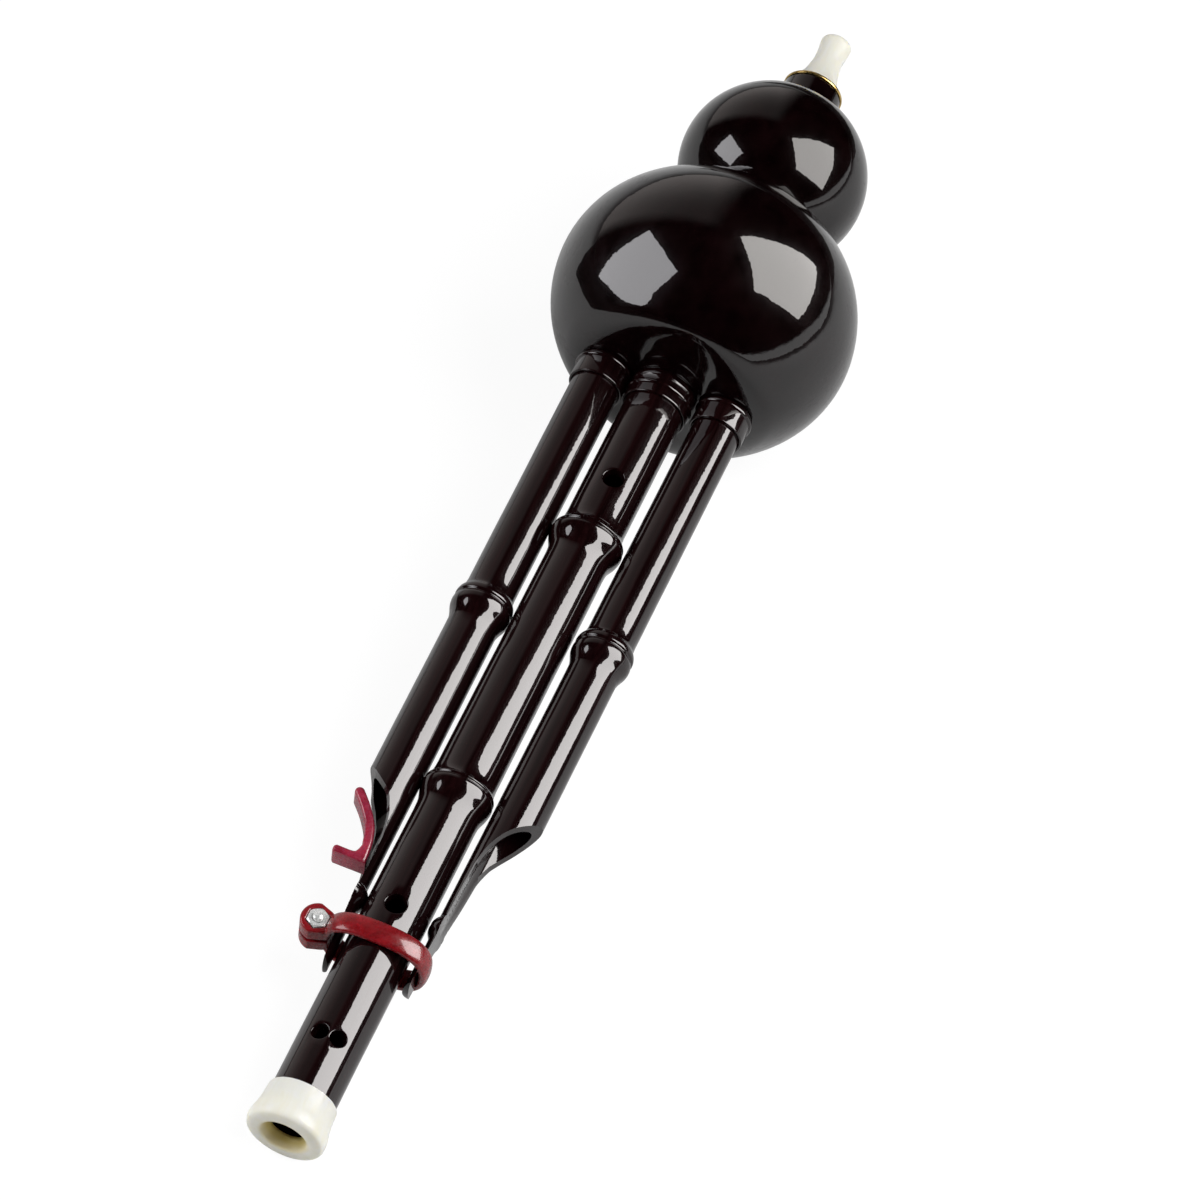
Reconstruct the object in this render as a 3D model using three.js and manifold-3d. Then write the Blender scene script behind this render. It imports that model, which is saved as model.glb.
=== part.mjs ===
// A gourd-chambered reed flute with one melody pipe and two drone pipes, lying on its belly.
// Lengths are millimetres. Every pipe runs along +Y from the bell, with its back towards +Z,
// and the whole instrument is then tipped so that its bell and its gourd share one level floor.

import * as THREE from 'three';
import { mergeVertices } from 'three/addons/utils/BufferGeometryUtils.js';
import Module from 'manifold-3d';

const wasm = await Module();
wasm.setup();

// Clearances and cuts
const seatGap = 0.3;
const overrun = 1;

// Facets round each turned piece, all multiples of four so that a flat faces the floor
const gourdSides = 36;
const mainSides = 24;
const droneSides = 24;
const smallSides = 16;
const holeSides = 16;

// Lower bulb of the gourd, whose base is flat in the middle and rounds off towards the skin
const bulbRadius = 46.2;
const bulbHalfLength = 41;
const bulbHeight = 32.3;
const baseThickness = 9;
const baseFlatRadius = 14;
const baseRise = 10;

// Upper bulb, neck and waist
const budRadius = 29.2;
const budHalfLower = 27.4;
const budHalfUpper = 28.1;
const budHeight = 20.95;
const gourdWall = 3.2;
const neckRadius = 9.3;
const neckHeight = 34.4;
const neckFillet = 3;
const neckBore = 6.8;
const waistHeight = 37.35;
const waistRingThickness = 1.5;
const waistRingRadius = 20.3;
const mouthRadius = 15.5;
const mouthDepth = 5;
const spigotWall = 3;

// Ring on the neck, and the mouthpiece pushed into it
const neckRingThickness = 1;
const neckRingOverhang = 0.4;
const mouthpieceLength = 21.9;
const mouthpieceFoot = 7.4;
const mouthpieceThroat = 4.45;
const mouthpieceLip = 4.9;
const mouthpieceBore = 2.2;
const mouthpieceSpigot = 11;

// Melody pipe
const mainRadius = 9;
const mainBore = 6;
const mainStart = 3.3;
const mainEnd = 308;
const mainInside = 40;
const mainNodePlaces = [115, 208.5];
const mainNodeRises = [1.45, 2.05];
const mainNodeReach = 10;
const pipeChamfer = 0.5;

// Holes of the melody pipe
const fingerHolePlaces = [197.5, 179, 160.5, 142, 123.5, 101.5];
const fingerHoleRadius = 3.4;
const thumbHolePlace = 226.8;
const thumbHoleRadius = 3.1;
const ventHolePlace = 71.5;
const ventHoleRadius = 3;
const cordHolePlace = 27.5;
const cordHoleRadius = 2.4;
const cordHoleTurn = THREE.MathUtils.degToRad(17.5);

// Drone pipes
const droneRadius = 7.1;
const droneBore = 5;
const droneStart = 49.5;
const droneInside = 36;
const droneOffsetAtBell = 17.5;
const droneOffsetAtGourd = 19.2;
const droneToeLength = 300;
const droneNode = { place: 174.4, rise: 1.55, reach: 7 };
const droneLowNode = { place: 73.2, rise: 1.3, reach: 4 };
const scoopTops = { left: 112.5, right: 114.5 };
const stripNotchWidth = 2.4;
const stripNotchDepth = 1.8;

// Collars that carry the pipes in the base of the gourd, and the seals behind them
const mainCollarReach = 8.5;
const mainCollarBody = 9.9;
const mainRingReach = 4.6;
const mainRingRise = 0.55;
const mainBaseRingRise = 0.25;
const droneCollarReach = 8;
const droneCollarBody = 8.1;
const droneCollarSleeve = 8.25;
const droneCollarRise = 0.55;
const collarRidgeWidth = 1.8;
const collarTail = 3;
const sealThickness = 4;
const mainSealRadius = 10.2;
const droneSealRadius = 8.6;

// Reeds, their seats and windows, and the plugs above them
const reedThickness = 0.4;
const reedTongueSlit = 0.35;
const reedMargin = 2.4;
const mainReed = { seat: 7.4, width: 6.8, length: 15.5, window: 2.6 };
const droneReed = { seat: 5.6, width: 5.2, length: 13, window: 2 };
const plugDepth = 4.5;
const plugHeadThickness = 1.4;
const plugHeadMargin = 1;

// Cap on the bell end
const capStart = -1;
const capEnd = 11.5;
const capRim = 11.3;
const capEdge = 9.9;
const capMouth = 6.7;
const capThroat = 5.1;
const capThroatPlace = 2;
const capSocket = 3;

// Clamp band round the three pipes, its ears, screw and nut
const bandPlace = 60.5;
const bandWidth = 7;
const bandHalfWidth = 13.6;
const bandHalfHeight = 9.35;
const bandThickness = 2.2;
const bandPower = 2.6;
const bandSteps = 44;
const bandSlit = 1.2;
const earPlace = -17.8;
const earRadius = 4.9;
const earTop = 5.1;
const screwRadius = 1.45;
const screwHeadRadius = 3;
const screwHeadHeight = 2.1;
const screwTail = 1.2;
const nutAcross = 6;
const nutThickness = 2.4;
const nutProud = 0.3;
const nutChamfer = 0.4;

// Thumb rest on the left drone
const restFoot = 82;
const restHeight = 20.6;
const restReach = 9.4;
const restThickness = 2.6;
const restArm = 2.4;
const restArmReach = 8.2;
const restHalfDepth = 3.5;

// Outline tables as shares of the sizes that they follow
const mainNodeShares = [
  [-1, 0], [-0.85, 0.06], [-0.6, 0.27], [-0.35, 0.66], [-0.16, 0.95], [-0.04, 1],
  [0.05, 0.66], [0.12, 0.85], [0.22, 0.44], [0.4, 0.12], [0.65, 0],
];
const droneNodeShares = [
  [-1, 0], [-0.71, 0.32], [-0.36, 0.9], [-0.07, 1], [0.1, 0.71], [0.21, 0.97],
  [0.43, 0.77], [0.64, 0.19], [1, 0],
];
const ridgeShares = [[-0.5, 0], [-0.28, 0.75], [0, 1], [0.28, 0.75], [0.5, 0]];
const scoopShares = [
  [0, 1.02], [-0.21, 0.93], [-0.45, 0.79], [-1.11, 0.39], [-1.79, -0.13], [-2.5, -0.41],
  [-3.2, -0.52], [-4.2, -0.61], [-5.5, -0.69], [-7.2, -0.765], [-9.4, -0.82],
];
const scoopCurveSteps = 26;
const baseCurveSteps = 6;
const restSpineShares = [[0, 0], [0.17, 0.03], [0.36, 0.1], [0.56, 0.26], [0.78, 0.6], [0.96, 0.97]];
const restCurveSteps = 14;
const tipSteps = 6;
const mouthpieceShares = [[0, 1], [0.08, 1], [0.2, 0.6], [0.34, 0.3], [0.52, 0.06], [0.64, 0], [0.8, 0.04]];
const screwHeadShares = [[0, 0], [0.6, 0.1], [0.9, 0.35], [1, 0.6], [1, 1]];
const screwTipShares = [[1, 0], [0.7, 0.67], [0, 1]];
const capOutlineShares = [[1, 0], [0.72, 0.14], [0.48, 0.5], [0.32, 0.86], [0.16, 1], [0.05, 0.8], [0, 0]];

// Surface colours and finishes
const lacquer = { color: 0x140709, roughness: 0.12, metalness: 0 };
const redPlastic = { color: 0x8e0f16, roughness: 0.28, metalness: 0 };
const ivoryPlastic = { color: 0xe9e2c6, roughness: 0.35, metalness: 0 };
const steel = { color: 0xb9bcc0, roughness: 0.25, metalness: 1 };
const brass = { color: 0xb8924a, roughness: 0.3, metalness: 1 };
const wax = { color: 0x6b3b1d, roughness: 0.6, metalness: 0 };
const cork = { color: 0xb08a5b, roughness: 0.85, metalness: 0 };

// Welded copy of a geometry, with no sliver triangles and its faces pointing out
function facingOut(geometry) {
  const bare = new THREE.BufferGeometry();
  bare.setAttribute('position', geometry.getAttribute('position'));
  if (geometry.index) bare.setIndex(geometry.index);
  const merged = mergeVertices(bare);
  const corners = merged.index.array;
  const kept = [];
  for (let i = 0; i < corners.length; i += 3) {
    const [a, b, c] = [corners[i], corners[i + 1], corners[i + 2]];
    if (a !== b && b !== c && c !== a) kept.push(a, b, c);
  }
  if (signedVolume(merged, kept) < 0) kept.reverse();
  merged.setIndex(kept);
  return merged;
}

// Six times the volume that a closed set of triangles holds, negative when it is inside out
function signedVolume(geometry, corners) {
  const position = geometry.getAttribute('position');
  const a = new THREE.Vector3();
  const b = new THREE.Vector3();
  const c = new THREE.Vector3();
  let total = 0;
  for (let i = 0; i < corners.length; i += 3) {
    a.fromBufferAttribute(position, corners[i]);
    b.fromBufferAttribute(position, corners[i + 1]);
    c.fromBufferAttribute(position, corners[i + 2]);
    total += a.dot(b.cross(c));
  }
  return total;
}

// A geometry as a solid that can be joined and cut, and back again
function solid(geometry) {
  const closed = facingOut(geometry);
  return new wasm.Manifold(new wasm.Mesh({
    numProp: 3,
    vertProperties: new Float32Array(closed.getAttribute('position').array),
    triVerts: new Uint32Array(closed.index.array),
  }));
}

function geometryOf(shape) {
  const mesh = shape.getMesh();
  const geometry = new THREE.BufferGeometry();
  geometry.setAttribute('position', new THREE.BufferAttribute(new Float32Array(mesh.vertProperties), 3));
  geometry.setIndex(new THREE.BufferAttribute(new Uint32Array(mesh.triVerts), 1));
  return geometry;
}

function cut(geometry, cutters) {
  let shape = solid(geometry);
  for (const cutter of cutters) shape = shape.subtract(solid(cutter));
  return geometryOf(shape);
}

// A turned piece from [radius, place along the axis] pairs, with a flat towards the floor
function turned(outline, sides) {
  const points = outline.map(([radius, along]) => new THREE.Vector2(radius, along));
  const onAxis = outline[0][0] === 0 && outline[outline.length - 1][0] === 0;
  if (!onAxis) points.push(points[0].clone());
  return facingOut(new THREE.LatheGeometry(points, sides, Math.PI / sides));
}

// A flat outline of [x, y] pairs drawn from one height to another along Z
function drawn(outline, from, to, holes = []) {
  const shape = new THREE.Shape(outline.map(([x, y]) => new THREE.Vector2(x, y)));
  for (const hole of holes) shape.holes.push(new THREE.Path(hole.map(([x, y]) => new THREE.Vector2(x, y))));
  const geometry = new THREE.ExtrudeGeometry(shape, { depth: to - from, bevelEnabled: false });
  return geometry.translate(0, 0, from);
}

// A round cutter or pin along Z, or along Y
function uprightRod(radius, from, to, sides = holeSides) {
  const rod = new THREE.CylinderGeometry(radius, radius, to - from, sides);
  return rod.rotateX(Math.PI / 2).translate(0, 0, (from + to) / 2);
}

function axialRod(radius, from, to, sides) {
  const rod = new THREE.CylinderGeometry(radius, radius, to - from, sides, 1, false, Math.PI / sides);
  return rod.translate(0, (from + to) / 2, 0);
}

function block(width, length, height) {
  return new THREE.BoxGeometry(width, length, height);
}

function named(name, geometry, finish) {
  const mesh = new THREE.Mesh(facingOut(geometry), new THREE.MeshStandardMaterial(finish));
  mesh.name = name;
  return mesh;
}

// Raised outline of a cane node, or of a turned ridge, between two plain stretches
function raised(shares, centre, radius, rise, reach) {
  return shares.map(([along, height]) => [radius + rise * height, centre + reach * along]);
}

// Arc of an ellipse of revolution from one place along the axis to another
function ovalArc(radius, half, centre, from, to, steps) {
  const start = Math.asin((from - centre) / half);
  const end = Math.asin((to - centre) / half);
  const outline = [];
  for (let i = 0; i <= steps; i += 1) {
    const angle = start + ((end - start) * i) / steps;
    outline.push([radius * Math.cos(angle), centre + half * Math.sin(angle)]);
  }
  return outline;
}

// Quarter arc that hollows the corner where a neck leaves a wider body
function hollowArc(neck, start, radius, steps) {
  const outline = [];
  for (let i = 0; i <= steps; i += 1) {
    const angle = ((Math.PI / 2) * i) / steps;
    outline.push([neck + radius * (1 - Math.sin(angle)), start + radius * (1 - Math.cos(angle))]);
  }
  return outline;
}

const ovalPlaceAt = (radius, half, centre, at) => centre + half * Math.sqrt(1 - (at / radius) ** 2);

// Frame of a drone pipe: its axis leans out a little towards the gourd
const droneToe = Math.atan((droneOffsetAtGourd - droneOffsetAtBell) / droneToeLength);
function droneFrame(side) {
  const frame = new THREE.Object3D();
  frame.position.x = side * droneOffsetAtBell;
  frame.rotation.z = -side * droneToe;
  frame.updateMatrix();
  return frame.matrix;
}

// Places that several pieces share, worked out from the inner end of the melody pipe upwards
const baseFace = mainEnd - mainInside;
const droneEnd = baseFace + droneInside;
const bulbCentre = baseFace + bulbHeight;
const waistPlace = bulbCentre + waistHeight;
const budCentre = waistPlace + budHeight;
const neckTop = budCentre + neckHeight;
const baseInner = baseFace + baseThickness;
const collarEnd = baseInner + collarTail;
const baseRing = baseFace - seatGap - collarRidgeWidth / 2;
const waistLow = waistPlace - waistRingThickness / 2 - seatGap;
const waistHigh = waistPlace + waistRingThickness / 2 + seatGap;
const spigotRadius = mouthRadius - seatGap;
const spigotStart = waistLow - mouthDepth;

// Gourd
function baseCurve(skin) {
  const [[radius, along], [nextRadius, nextAlong]] = skin;
  const slope = (nextRadius - radius) / (nextAlong - along);
  const start = new THREE.Vector2(baseFlatRadius, baseFace);
  const corner = new THREE.Vector2(radius - slope * baseRise, baseFace);
  const curve = new THREE.QuadraticBezierCurve(start, corner, new THREE.Vector2(radius, along));
  return curve.getPoints(baseCurveSteps).slice(0, -1).map((point) => [point.x, point.y]);
}

function lowerBulbOutline() {
  const skin = ovalArc(bulbRadius, bulbHalfLength, bulbCentre, baseFace + baseRise, waistLow, 13);
  const innerRadius = bulbRadius - gourdWall;
  const innerHalf = bulbHalfLength - gourdWall;
  return [
    [0, baseFace],
    ...baseCurve(skin),
    ...skin,
    [mouthRadius, waistLow],
    [mouthRadius, spigotStart],
    ...ovalArc(innerRadius, innerHalf, bulbCentre, spigotStart, baseInner, 6),
    [0, baseInner],
  ];
}

function lowerBulb() {
  const from = baseFace - overrun;
  const to = baseInner + overrun;
  const sockets = [axialRod(mainCollarBody + seatGap, from, to, mainSides)];
  for (const side of [-1, 1]) {
    const socket = axialRod(droneCollarBody + seatGap, from, to, droneSides);
    sockets.push(socket.applyMatrix4(droneFrame(side)));
  }
  return cut(turned(lowerBulbOutline(), gourdSides), sockets);
}

function upperBulb() {
  const innerRadius = budRadius - gourdWall;
  const neckMeet = ovalPlaceAt(budRadius, budHalfUpper, budCentre, neckRadius + neckFillet);
  const innerBore = spigotRadius - spigotWall;
  const innerStart = budCentre - (budHalfLower - gourdWall) * Math.sqrt(1 - (innerBore / innerRadius) ** 2);
  const innerTop = ovalPlaceAt(innerRadius, budHalfUpper - gourdWall, budCentre, neckBore);
  return turned([
    [innerBore, spigotStart],
    [spigotRadius, spigotStart],
    [spigotRadius, waistHigh],
    ...ovalArc(budRadius, budHalfLower, budCentre, waistHigh, budCentre, 7),
    ...ovalArc(budRadius, budHalfUpper, budCentre, budCentre, neckMeet, 6).slice(1),
    ...hollowArc(neckRadius, neckMeet, neckFillet, 3).slice(1),
    [neckRadius, neckTop - pipeChamfer],
    [neckRadius - pipeChamfer, neckTop],
    [neckBore, neckTop],
    [neckBore, innerTop],
    ...ovalArc(innerRadius, budHalfUpper - gourdWall, budCentre, innerTop, budCentre, 4).slice(1),
    ...ovalArc(innerRadius, budHalfLower - gourdWall, budCentre, budCentre, innerStart, 4).slice(1),
  ], gourdSides);
}

function waistRing() {
  const inner = spigotRadius + seatGap;
  const low = waistPlace - waistRingThickness / 2;
  const high = waistPlace + waistRingThickness / 2;
  const rounding = waistRingThickness / 3;
  return turned([
    [inner, low],
    [waistRingRadius - rounding, low],
    [waistRingRadius, low + rounding],
    [waistRingRadius, high - rounding],
    [waistRingRadius - rounding, high],
    [inner, high],
  ], gourdSides);
}

function neckRing() {
  const low = neckTop + seatGap;
  const high = low + neckRingThickness;
  const outer = neckRadius + neckRingOverhang;
  const inner = neckBore + seatGap;
  const rounding = neckRingThickness / 3;
  return turned([
    [inner, low], [outer - rounding, low], [outer, low + rounding],
    [outer, high - rounding], [outer - rounding, high], [inner, high],
  ], mainSides);
}

function mouthpiece() {
  const foot = neckTop + neckRingThickness + 2 * seatGap;
  const end = foot + mouthpieceLength;
  const spigot = neckBore - seatGap;
  const lipRounding = (mouthpieceLip - mouthpieceBore) / 4;
  const swell = mouthpieceFoot - mouthpieceThroat;
  const waist = mouthpieceShares.map(([up, out]) => (
    [mouthpieceThroat + swell * out, foot + mouthpieceLength * up]
  ));
  return turned([
    [mouthpieceBore, foot - mouthpieceSpigot],
    [spigot - pipeChamfer, foot - mouthpieceSpigot],
    [spigot, foot - mouthpieceSpigot + pipeChamfer],
    [spigot, foot],
    ...waist,
    [mouthpieceLip, end - lipRounding],
    [mouthpieceLip - lipRounding, end],
    [mouthpieceBore, end],
  ], smallSides);
}

// Collars, seals and plugs
function mainCollar() {
  const bore = mainRadius + seatGap;
  const start = baseFace - mainCollarReach;
  const ring = (place, rise) => raised(ridgeShares, place, mainCollarBody, rise, collarRidgeWidth);
  return turned([
    [bore, start],
    [mainCollarBody - pipeChamfer / 2, start],
    [mainCollarBody, start + pipeChamfer],
    ...ring(baseFace - mainRingReach, mainRingRise),
    ...ring(baseRing, mainBaseRingRise),
    [mainCollarBody, collarEnd],
    [bore, collarEnd],
  ], mainSides);
}

function droneCollar() {
  const bore = droneRadius + seatGap;
  const start = baseFace - droneCollarReach;
  return turned([
    [bore, start],
    [droneCollarSleeve - pipeChamfer / 2, start],
    [droneCollarSleeve, start + pipeChamfer],
    ...raised(ridgeShares, baseRing, droneCollarSleeve, droneCollarRise, collarRidgeWidth),
    [droneCollarBody, baseFace - seatGap],
    [droneCollarBody, collarEnd],
    [bore, collarEnd],
  ], droneSides);
}

function seal(pipeRadius, outerRadius) {
  const low = collarEnd + seatGap;
  const inner = pipeRadius + seatGap;
  return turned([
    [inner, low], [outerRadius, low], [outerRadius, low + sealThickness / 2],
    [inner + seatGap, low + sealThickness], [inner, low + sealThickness],
  ], smallSides);
}

function topPlug(bore, pipeEnd) {
  const body = bore - seatGap;
  const headRadius = bore + plugHeadMargin;
  const headLow = pipeEnd + seatGap;
  return turned([
    [0, headLow - plugDepth], [body, headLow - plugDepth], [body, headLow],
    [headRadius, headLow], [headRadius, headLow + plugHeadThickness], [0, headLow + plugHeadThickness],
  ], smallSides);
}

// Reed plate with its pointed tongue freed by a slit on two sides, just short of the plug
const reedFoot = (pipeEnd, length) => pipeEnd - plugDepth - length;
function reedPlate({ seat, width, length }, pipeEnd) {
  const foot = reedFoot(pipeEnd, length);
  const half = width / 2;
  const plate = [[-half, foot], [half, foot], [half, foot + length], [-half, foot + length]];
  const root = half - reedMargin / 2;
  const heel = foot + reedMargin;
  const tip = foot + length - reedMargin;
  const slit = [
    [-root, heel], [0, tip], [root, heel], [root - reedTongueSlit, heel],
    [0, tip - 4 * reedTongueSlit], [reedTongueSlit - root, heel],
  ];
  const low = seat + seatGap;
  return drawn(plate, low, low + reedThickness, [slit]);
}

// Flat seat and window that a reed plate covers
function reedCutters({ seat, length, window }, radius, pipeEnd) {
  const seatLength = length + 2 * seatGap;
  const middle = reedFoot(pipeEnd, length) + length / 2;
  const flat = block(2 * radius, seatLength, radius).translate(0, middle, seat + radius / 2);
  const opening = block(window, length - 2 * reedMargin, radius + overrun);
  return [flat, opening.translate(0, middle, (radius + overrun) / 2)];
}

// Pipes
function mainPipeOutline() {
  const node = (place, i) => raised(mainNodeShares, place, mainRadius, mainNodeRises[i], mainNodeReach);
  return [
    [mainBore, mainStart],
    [mainRadius - pipeChamfer, mainStart],
    [mainRadius, mainStart + pipeChamfer],
    ...mainNodePlaces.flatMap(node),
    [mainRadius, mainEnd - pipeChamfer],
    [mainRadius - pipeChamfer, mainEnd],
    [mainBore, mainEnd],
  ];
}

function mainPipe() {
  const reach = mainRadius + overrun;
  const front = (place) => uprightRod(fingerHoleRadius, -reach, 0).translate(0, place, 0);
  const back = (radius, place) => uprightRod(radius, 0, reach).translate(0, place, 0);
  const cord = (turn) => uprightRod(cordHoleRadius, 0, reach).rotateY(turn).translate(0, cordHolePlace, 0);
  return cut(turned(mainPipeOutline(), mainSides), [
    ...fingerHolePlaces.map(front),
    back(thumbHoleRadius, thumbHolePlace),
    back(ventHoleRadius, ventHolePlace),
    cord(-cordHoleTurn),
    cord(cordHoleTurn),
    ...reedCutters(mainReed, mainRadius, mainEnd),
  ]);
}

// Depth of the scoop at a place along a drone: distance from its axis, outward positive
function scoopCurve(top) {
  const place = ([along, out]) => new THREE.Vector2(out * droneRadius, top + along * droneRadius);
  return new THREE.SplineCurve(scoopShares.map(place)).getPoints(scoopCurveSteps);
}

function scoopDepthAt(top, along) {
  const points = scoopCurve(top);
  const next = points.findIndex((point) => point.y <= along);
  const share = (points[next - 1].y - along) / (points[next - 1].y - points[next].y);
  return THREE.MathUtils.lerp(points[next - 1].x, points[next].x, share);
}

function dronePipe(side, scoopTop) {
  const node = ({ place, rise, reach }) => raised(droneNodeShares, place, droneRadius, rise, reach);
  const body = turned([
    [droneBore, droneStart],
    [droneRadius, droneStart],
    ...node(droneLowNode),
    ...node(droneNode),
    [droneRadius, droneEnd - pipeChamfer],
    [droneRadius - pipeChamfer, droneEnd],
    [droneBore, droneEnd],
  ], droneSides);
  const away = droneRadius + droneLowNode.rise + overrun;
  const curve = scoopCurve(scoopTop).map((point) => [side * point.x, point.y]);
  const low = curve[curve.length - 1][1];
  const scoop = drawn([...curve, [side * away, low], [side * away, scoopTop]], -away, away);
  const notch = drawn([
    [-stripNotchWidth / 2, -overrun], [0, stripNotchDepth], [stripNotchWidth / 2, -overrun],
  ], -away, away).rotateY(Math.PI / 2).translate(0, droneStart, stripNotchWidth / 2);
  return cut(body, [scoop, notch, ...reedCutters(droneReed, droneRadius, droneEnd)]);
}

// Thumb rest: a curved blade whose spine lies along the cut face of the left drone
function thumbRest(side, scoopTop) {
  const half = restThickness / 2;
  const seat = scoopDepthAt(scoopTop, restFoot) + seatGap + half;
  const spine = new THREE.SplineCurve(restSpineShares.map(([up, out]) => (
    new THREE.Vector2(seat + out * restReach, restFoot + up * restHeight)
  )));
  const back = [];
  const front = [];
  for (let i = 0; i <= restCurveSteps; i += 1) {
    const at = spine.getPoint(i / restCurveSteps);
    const along = spine.getTangent(i / restCurveSteps);
    back.push([at.x - half * along.y, at.y + half * along.x]);
    front.unshift([at.x + half * along.y, at.y - half * along.x]);
  }
  const tip = spine.getPoint(1);
  const lean = spine.getTangent(1).angle();
  const roundTip = [];
  for (let i = 1; i < tipSteps; i += 1) {
    const turn = lean + Math.PI / 2 - (Math.PI * i) / tipSteps;
    roundTip.push([tip.x + half * Math.cos(turn), tip.y + half * Math.sin(turn)]);
  }
  const armEnd = seat + restArmReach;
  const outline = [
    ...back,
    ...roundTip,
    ...front.filter(([, y]) => y > restFoot + 1.6 * restArm),
    [seat + half + restArm / 2, restFoot + restArm],
    [armEnd - restArm / 4, restFoot + restArm],
    [armEnd, restFoot + restArm / 2],
    [armEnd - restArm / 4, restFoot],
  ];
  return drawn(outline.map(([x, y]) => [side * x, y]), -restHalfDepth, restHalfDepth);
}

// Bell cap: a turned ferrule with a flared mouth and a socket for the pipe
function bellCap() {
  const socket = mainRadius + seatGap;
  const swell = capRim - capEdge;
  const length = capEnd - capStart;
  const shoulder = capOutlineShares.map(([up, out]) => [capEdge + swell * out, capStart + length * up]);
  return turned([
    [socket, capEnd],
    ...shoulder,
    [capMouth, capStart],
    [capThroat, capThroatPlace],
    [capThroat, capSocket],
    [socket, capSocket],
  ], mainSides);
}

// Clamp band: an oval strap, split at its ears
function bandOval(grow) {
  const outline = [];
  for (let i = 0; i < bandSteps; i += 1) {
    const angle = (2 * Math.PI * i) / bandSteps;
    const cosine = Math.cos(angle);
    const sine = Math.sin(angle);
    outline.push([
      (bandHalfWidth + grow) * Math.sign(cosine) * Math.abs(cosine) ** (2 / bandPower),
      (bandHalfHeight + grow) * Math.sign(sine) * Math.abs(sine) ** (2 / bandPower),
    ]);
  }
  return outline;
}

const ovalPrism = (grow, width) => drawn(bandOval(grow), -width / 2, width / 2).rotateX(Math.PI / 2);

function clampBand() {
  const ear = uprightRod(earRadius, -earTop, earTop, mainSides).translate(earPlace, 0, 0);
  const root = block(-earPlace - bandHalfWidth, bandWidth, 2 * earTop);
  root.translate((earPlace - bandHalfWidth) / 2, 0, 0);
  const slit = block(2 * earRadius + bandThickness + bandHalfWidth, 2 * earRadius + overrun, bandSlit);
  slit.translate(earPlace, 0, 0);
  const hole = uprightRod(screwRadius + seatGap, -earTop - overrun, earTop + overrun);
  const pocket = hexPrism(nutAcross + 2 * seatGap, nutFloor() - seatGap, earTop + overrun);
  return geometryOf(solid(ovalPrism(bandThickness, bandWidth))
    .add(solid(ear))
    .add(solid(root))
    .subtract(solid(ovalPrism(0, 2 * earRadius + 2 * overrun)))
    .subtract(solid(slit))
    .subtract(solid(hole.translate(earPlace, 0, 0)))
    .subtract(solid(pocket.translate(earPlace, 0, 0))));
}

const nutFloor = () => earTop + nutProud - nutThickness;

function hexPrism(across, from, to) {
  return uprightRod(across / Math.sqrt(3), from, to, 6);
}

function clampScrew() {
  const headLow = -earTop - seatGap - screwHeadHeight;
  const tipLow = nutFloor() + nutThickness + screwTail - screwRadius;
  const head = screwHeadShares.map(([out, up]) => [screwHeadRadius * out, headLow + screwHeadHeight * up]);
  const tip = screwTipShares.map(([out, up]) => [screwRadius * out, tipLow + (screwRadius * up) / 2]);
  const neck = [screwRadius, headLow + screwHeadHeight];
  return turned([...head, neck, ...tip], smallSides).rotateX(Math.PI / 2);
}

function clampNut() {
  const low = nutFloor();
  const high = low + nutThickness;
  const corner = nutAcross / Math.sqrt(3) + nutChamfer;
  const chamfered = turned([
    [0, low - overrun], [corner, low - overrun], [corner, high - 1.5 * nutChamfer],
    [nutAcross / 2 - nutChamfer / 2, high], [0, high],
  ], smallSides).rotateX(Math.PI / 2);
  const thread = uprightRod(screwRadius + seatGap, low - overrun, high + overrun);
  const hexagon = solid(hexPrism(nutAcross, low, high));
  return geometryOf(hexagon.intersect(solid(chamfered)).subtract(solid(thread)));
}

// Assemblies
function gourdAssembly() {
  const group = new THREE.Group();
  group.add(
    named('gourd_lower_bulb', lowerBulb(), lacquer),
    named('gourd_upper_bulb', upperBulb(), lacquer),
    named('waist_ring', waistRing(), lacquer),
    named('neck_ring', neckRing(), brass),
    named('mouthpiece', mouthpiece(), ivoryPlastic),
    named('main_collar', mainCollar(), lacquer),
    named('main_seal', seal(mainRadius, mainSealRadius), wax),
  );
  return group;
}

function mainPipeAssembly() {
  const group = new THREE.Group();
  group.add(
    named('main_pipe', mainPipe(), lacquer),
    named('main_reed', reedPlate(mainReed, mainEnd), brass),
    named('main_top_plug', topPlug(mainBore, mainEnd), cork),
    named('bell_cap', bellCap(), ivoryPlastic),
  );
  return group;
}

function droneAssembly(hand) {
  const side = hand === 'left' ? -1 : 1;
  const group = new THREE.Group();
  group.applyMatrix4(droneFrame(side));
  group.add(
    named(`${hand}_drone_pipe`, dronePipe(side, scoopTops[hand]), lacquer),
    named(`${hand}_drone_reed`, reedPlate(droneReed, droneEnd), brass),
    named(`${hand}_drone_plug`, topPlug(droneBore, droneEnd), cork),
    named(`${hand}_drone_collar`, droneCollar(), lacquer),
    named(`${hand}_drone_seal`, seal(droneRadius, droneSealRadius), wax),
  );
  if (hand === 'left') group.add(named('thumb_rest', thumbRest(side, scoopTops[hand]), redPlastic));
  return group;
}

function clampAssembly() {
  const group = new THREE.Group();
  group.position.y = bandPlace;
  const screw = named('clamp_screw', clampScrew(), steel);
  screw.position.x = earPlace;
  const nut = named('clamp_nut', clampNut(), steel);
  nut.position.x = earPlace;
  group.add(named('clamp_band', clampBand(), redPlastic), screw, nut);
  return group;
}

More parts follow.
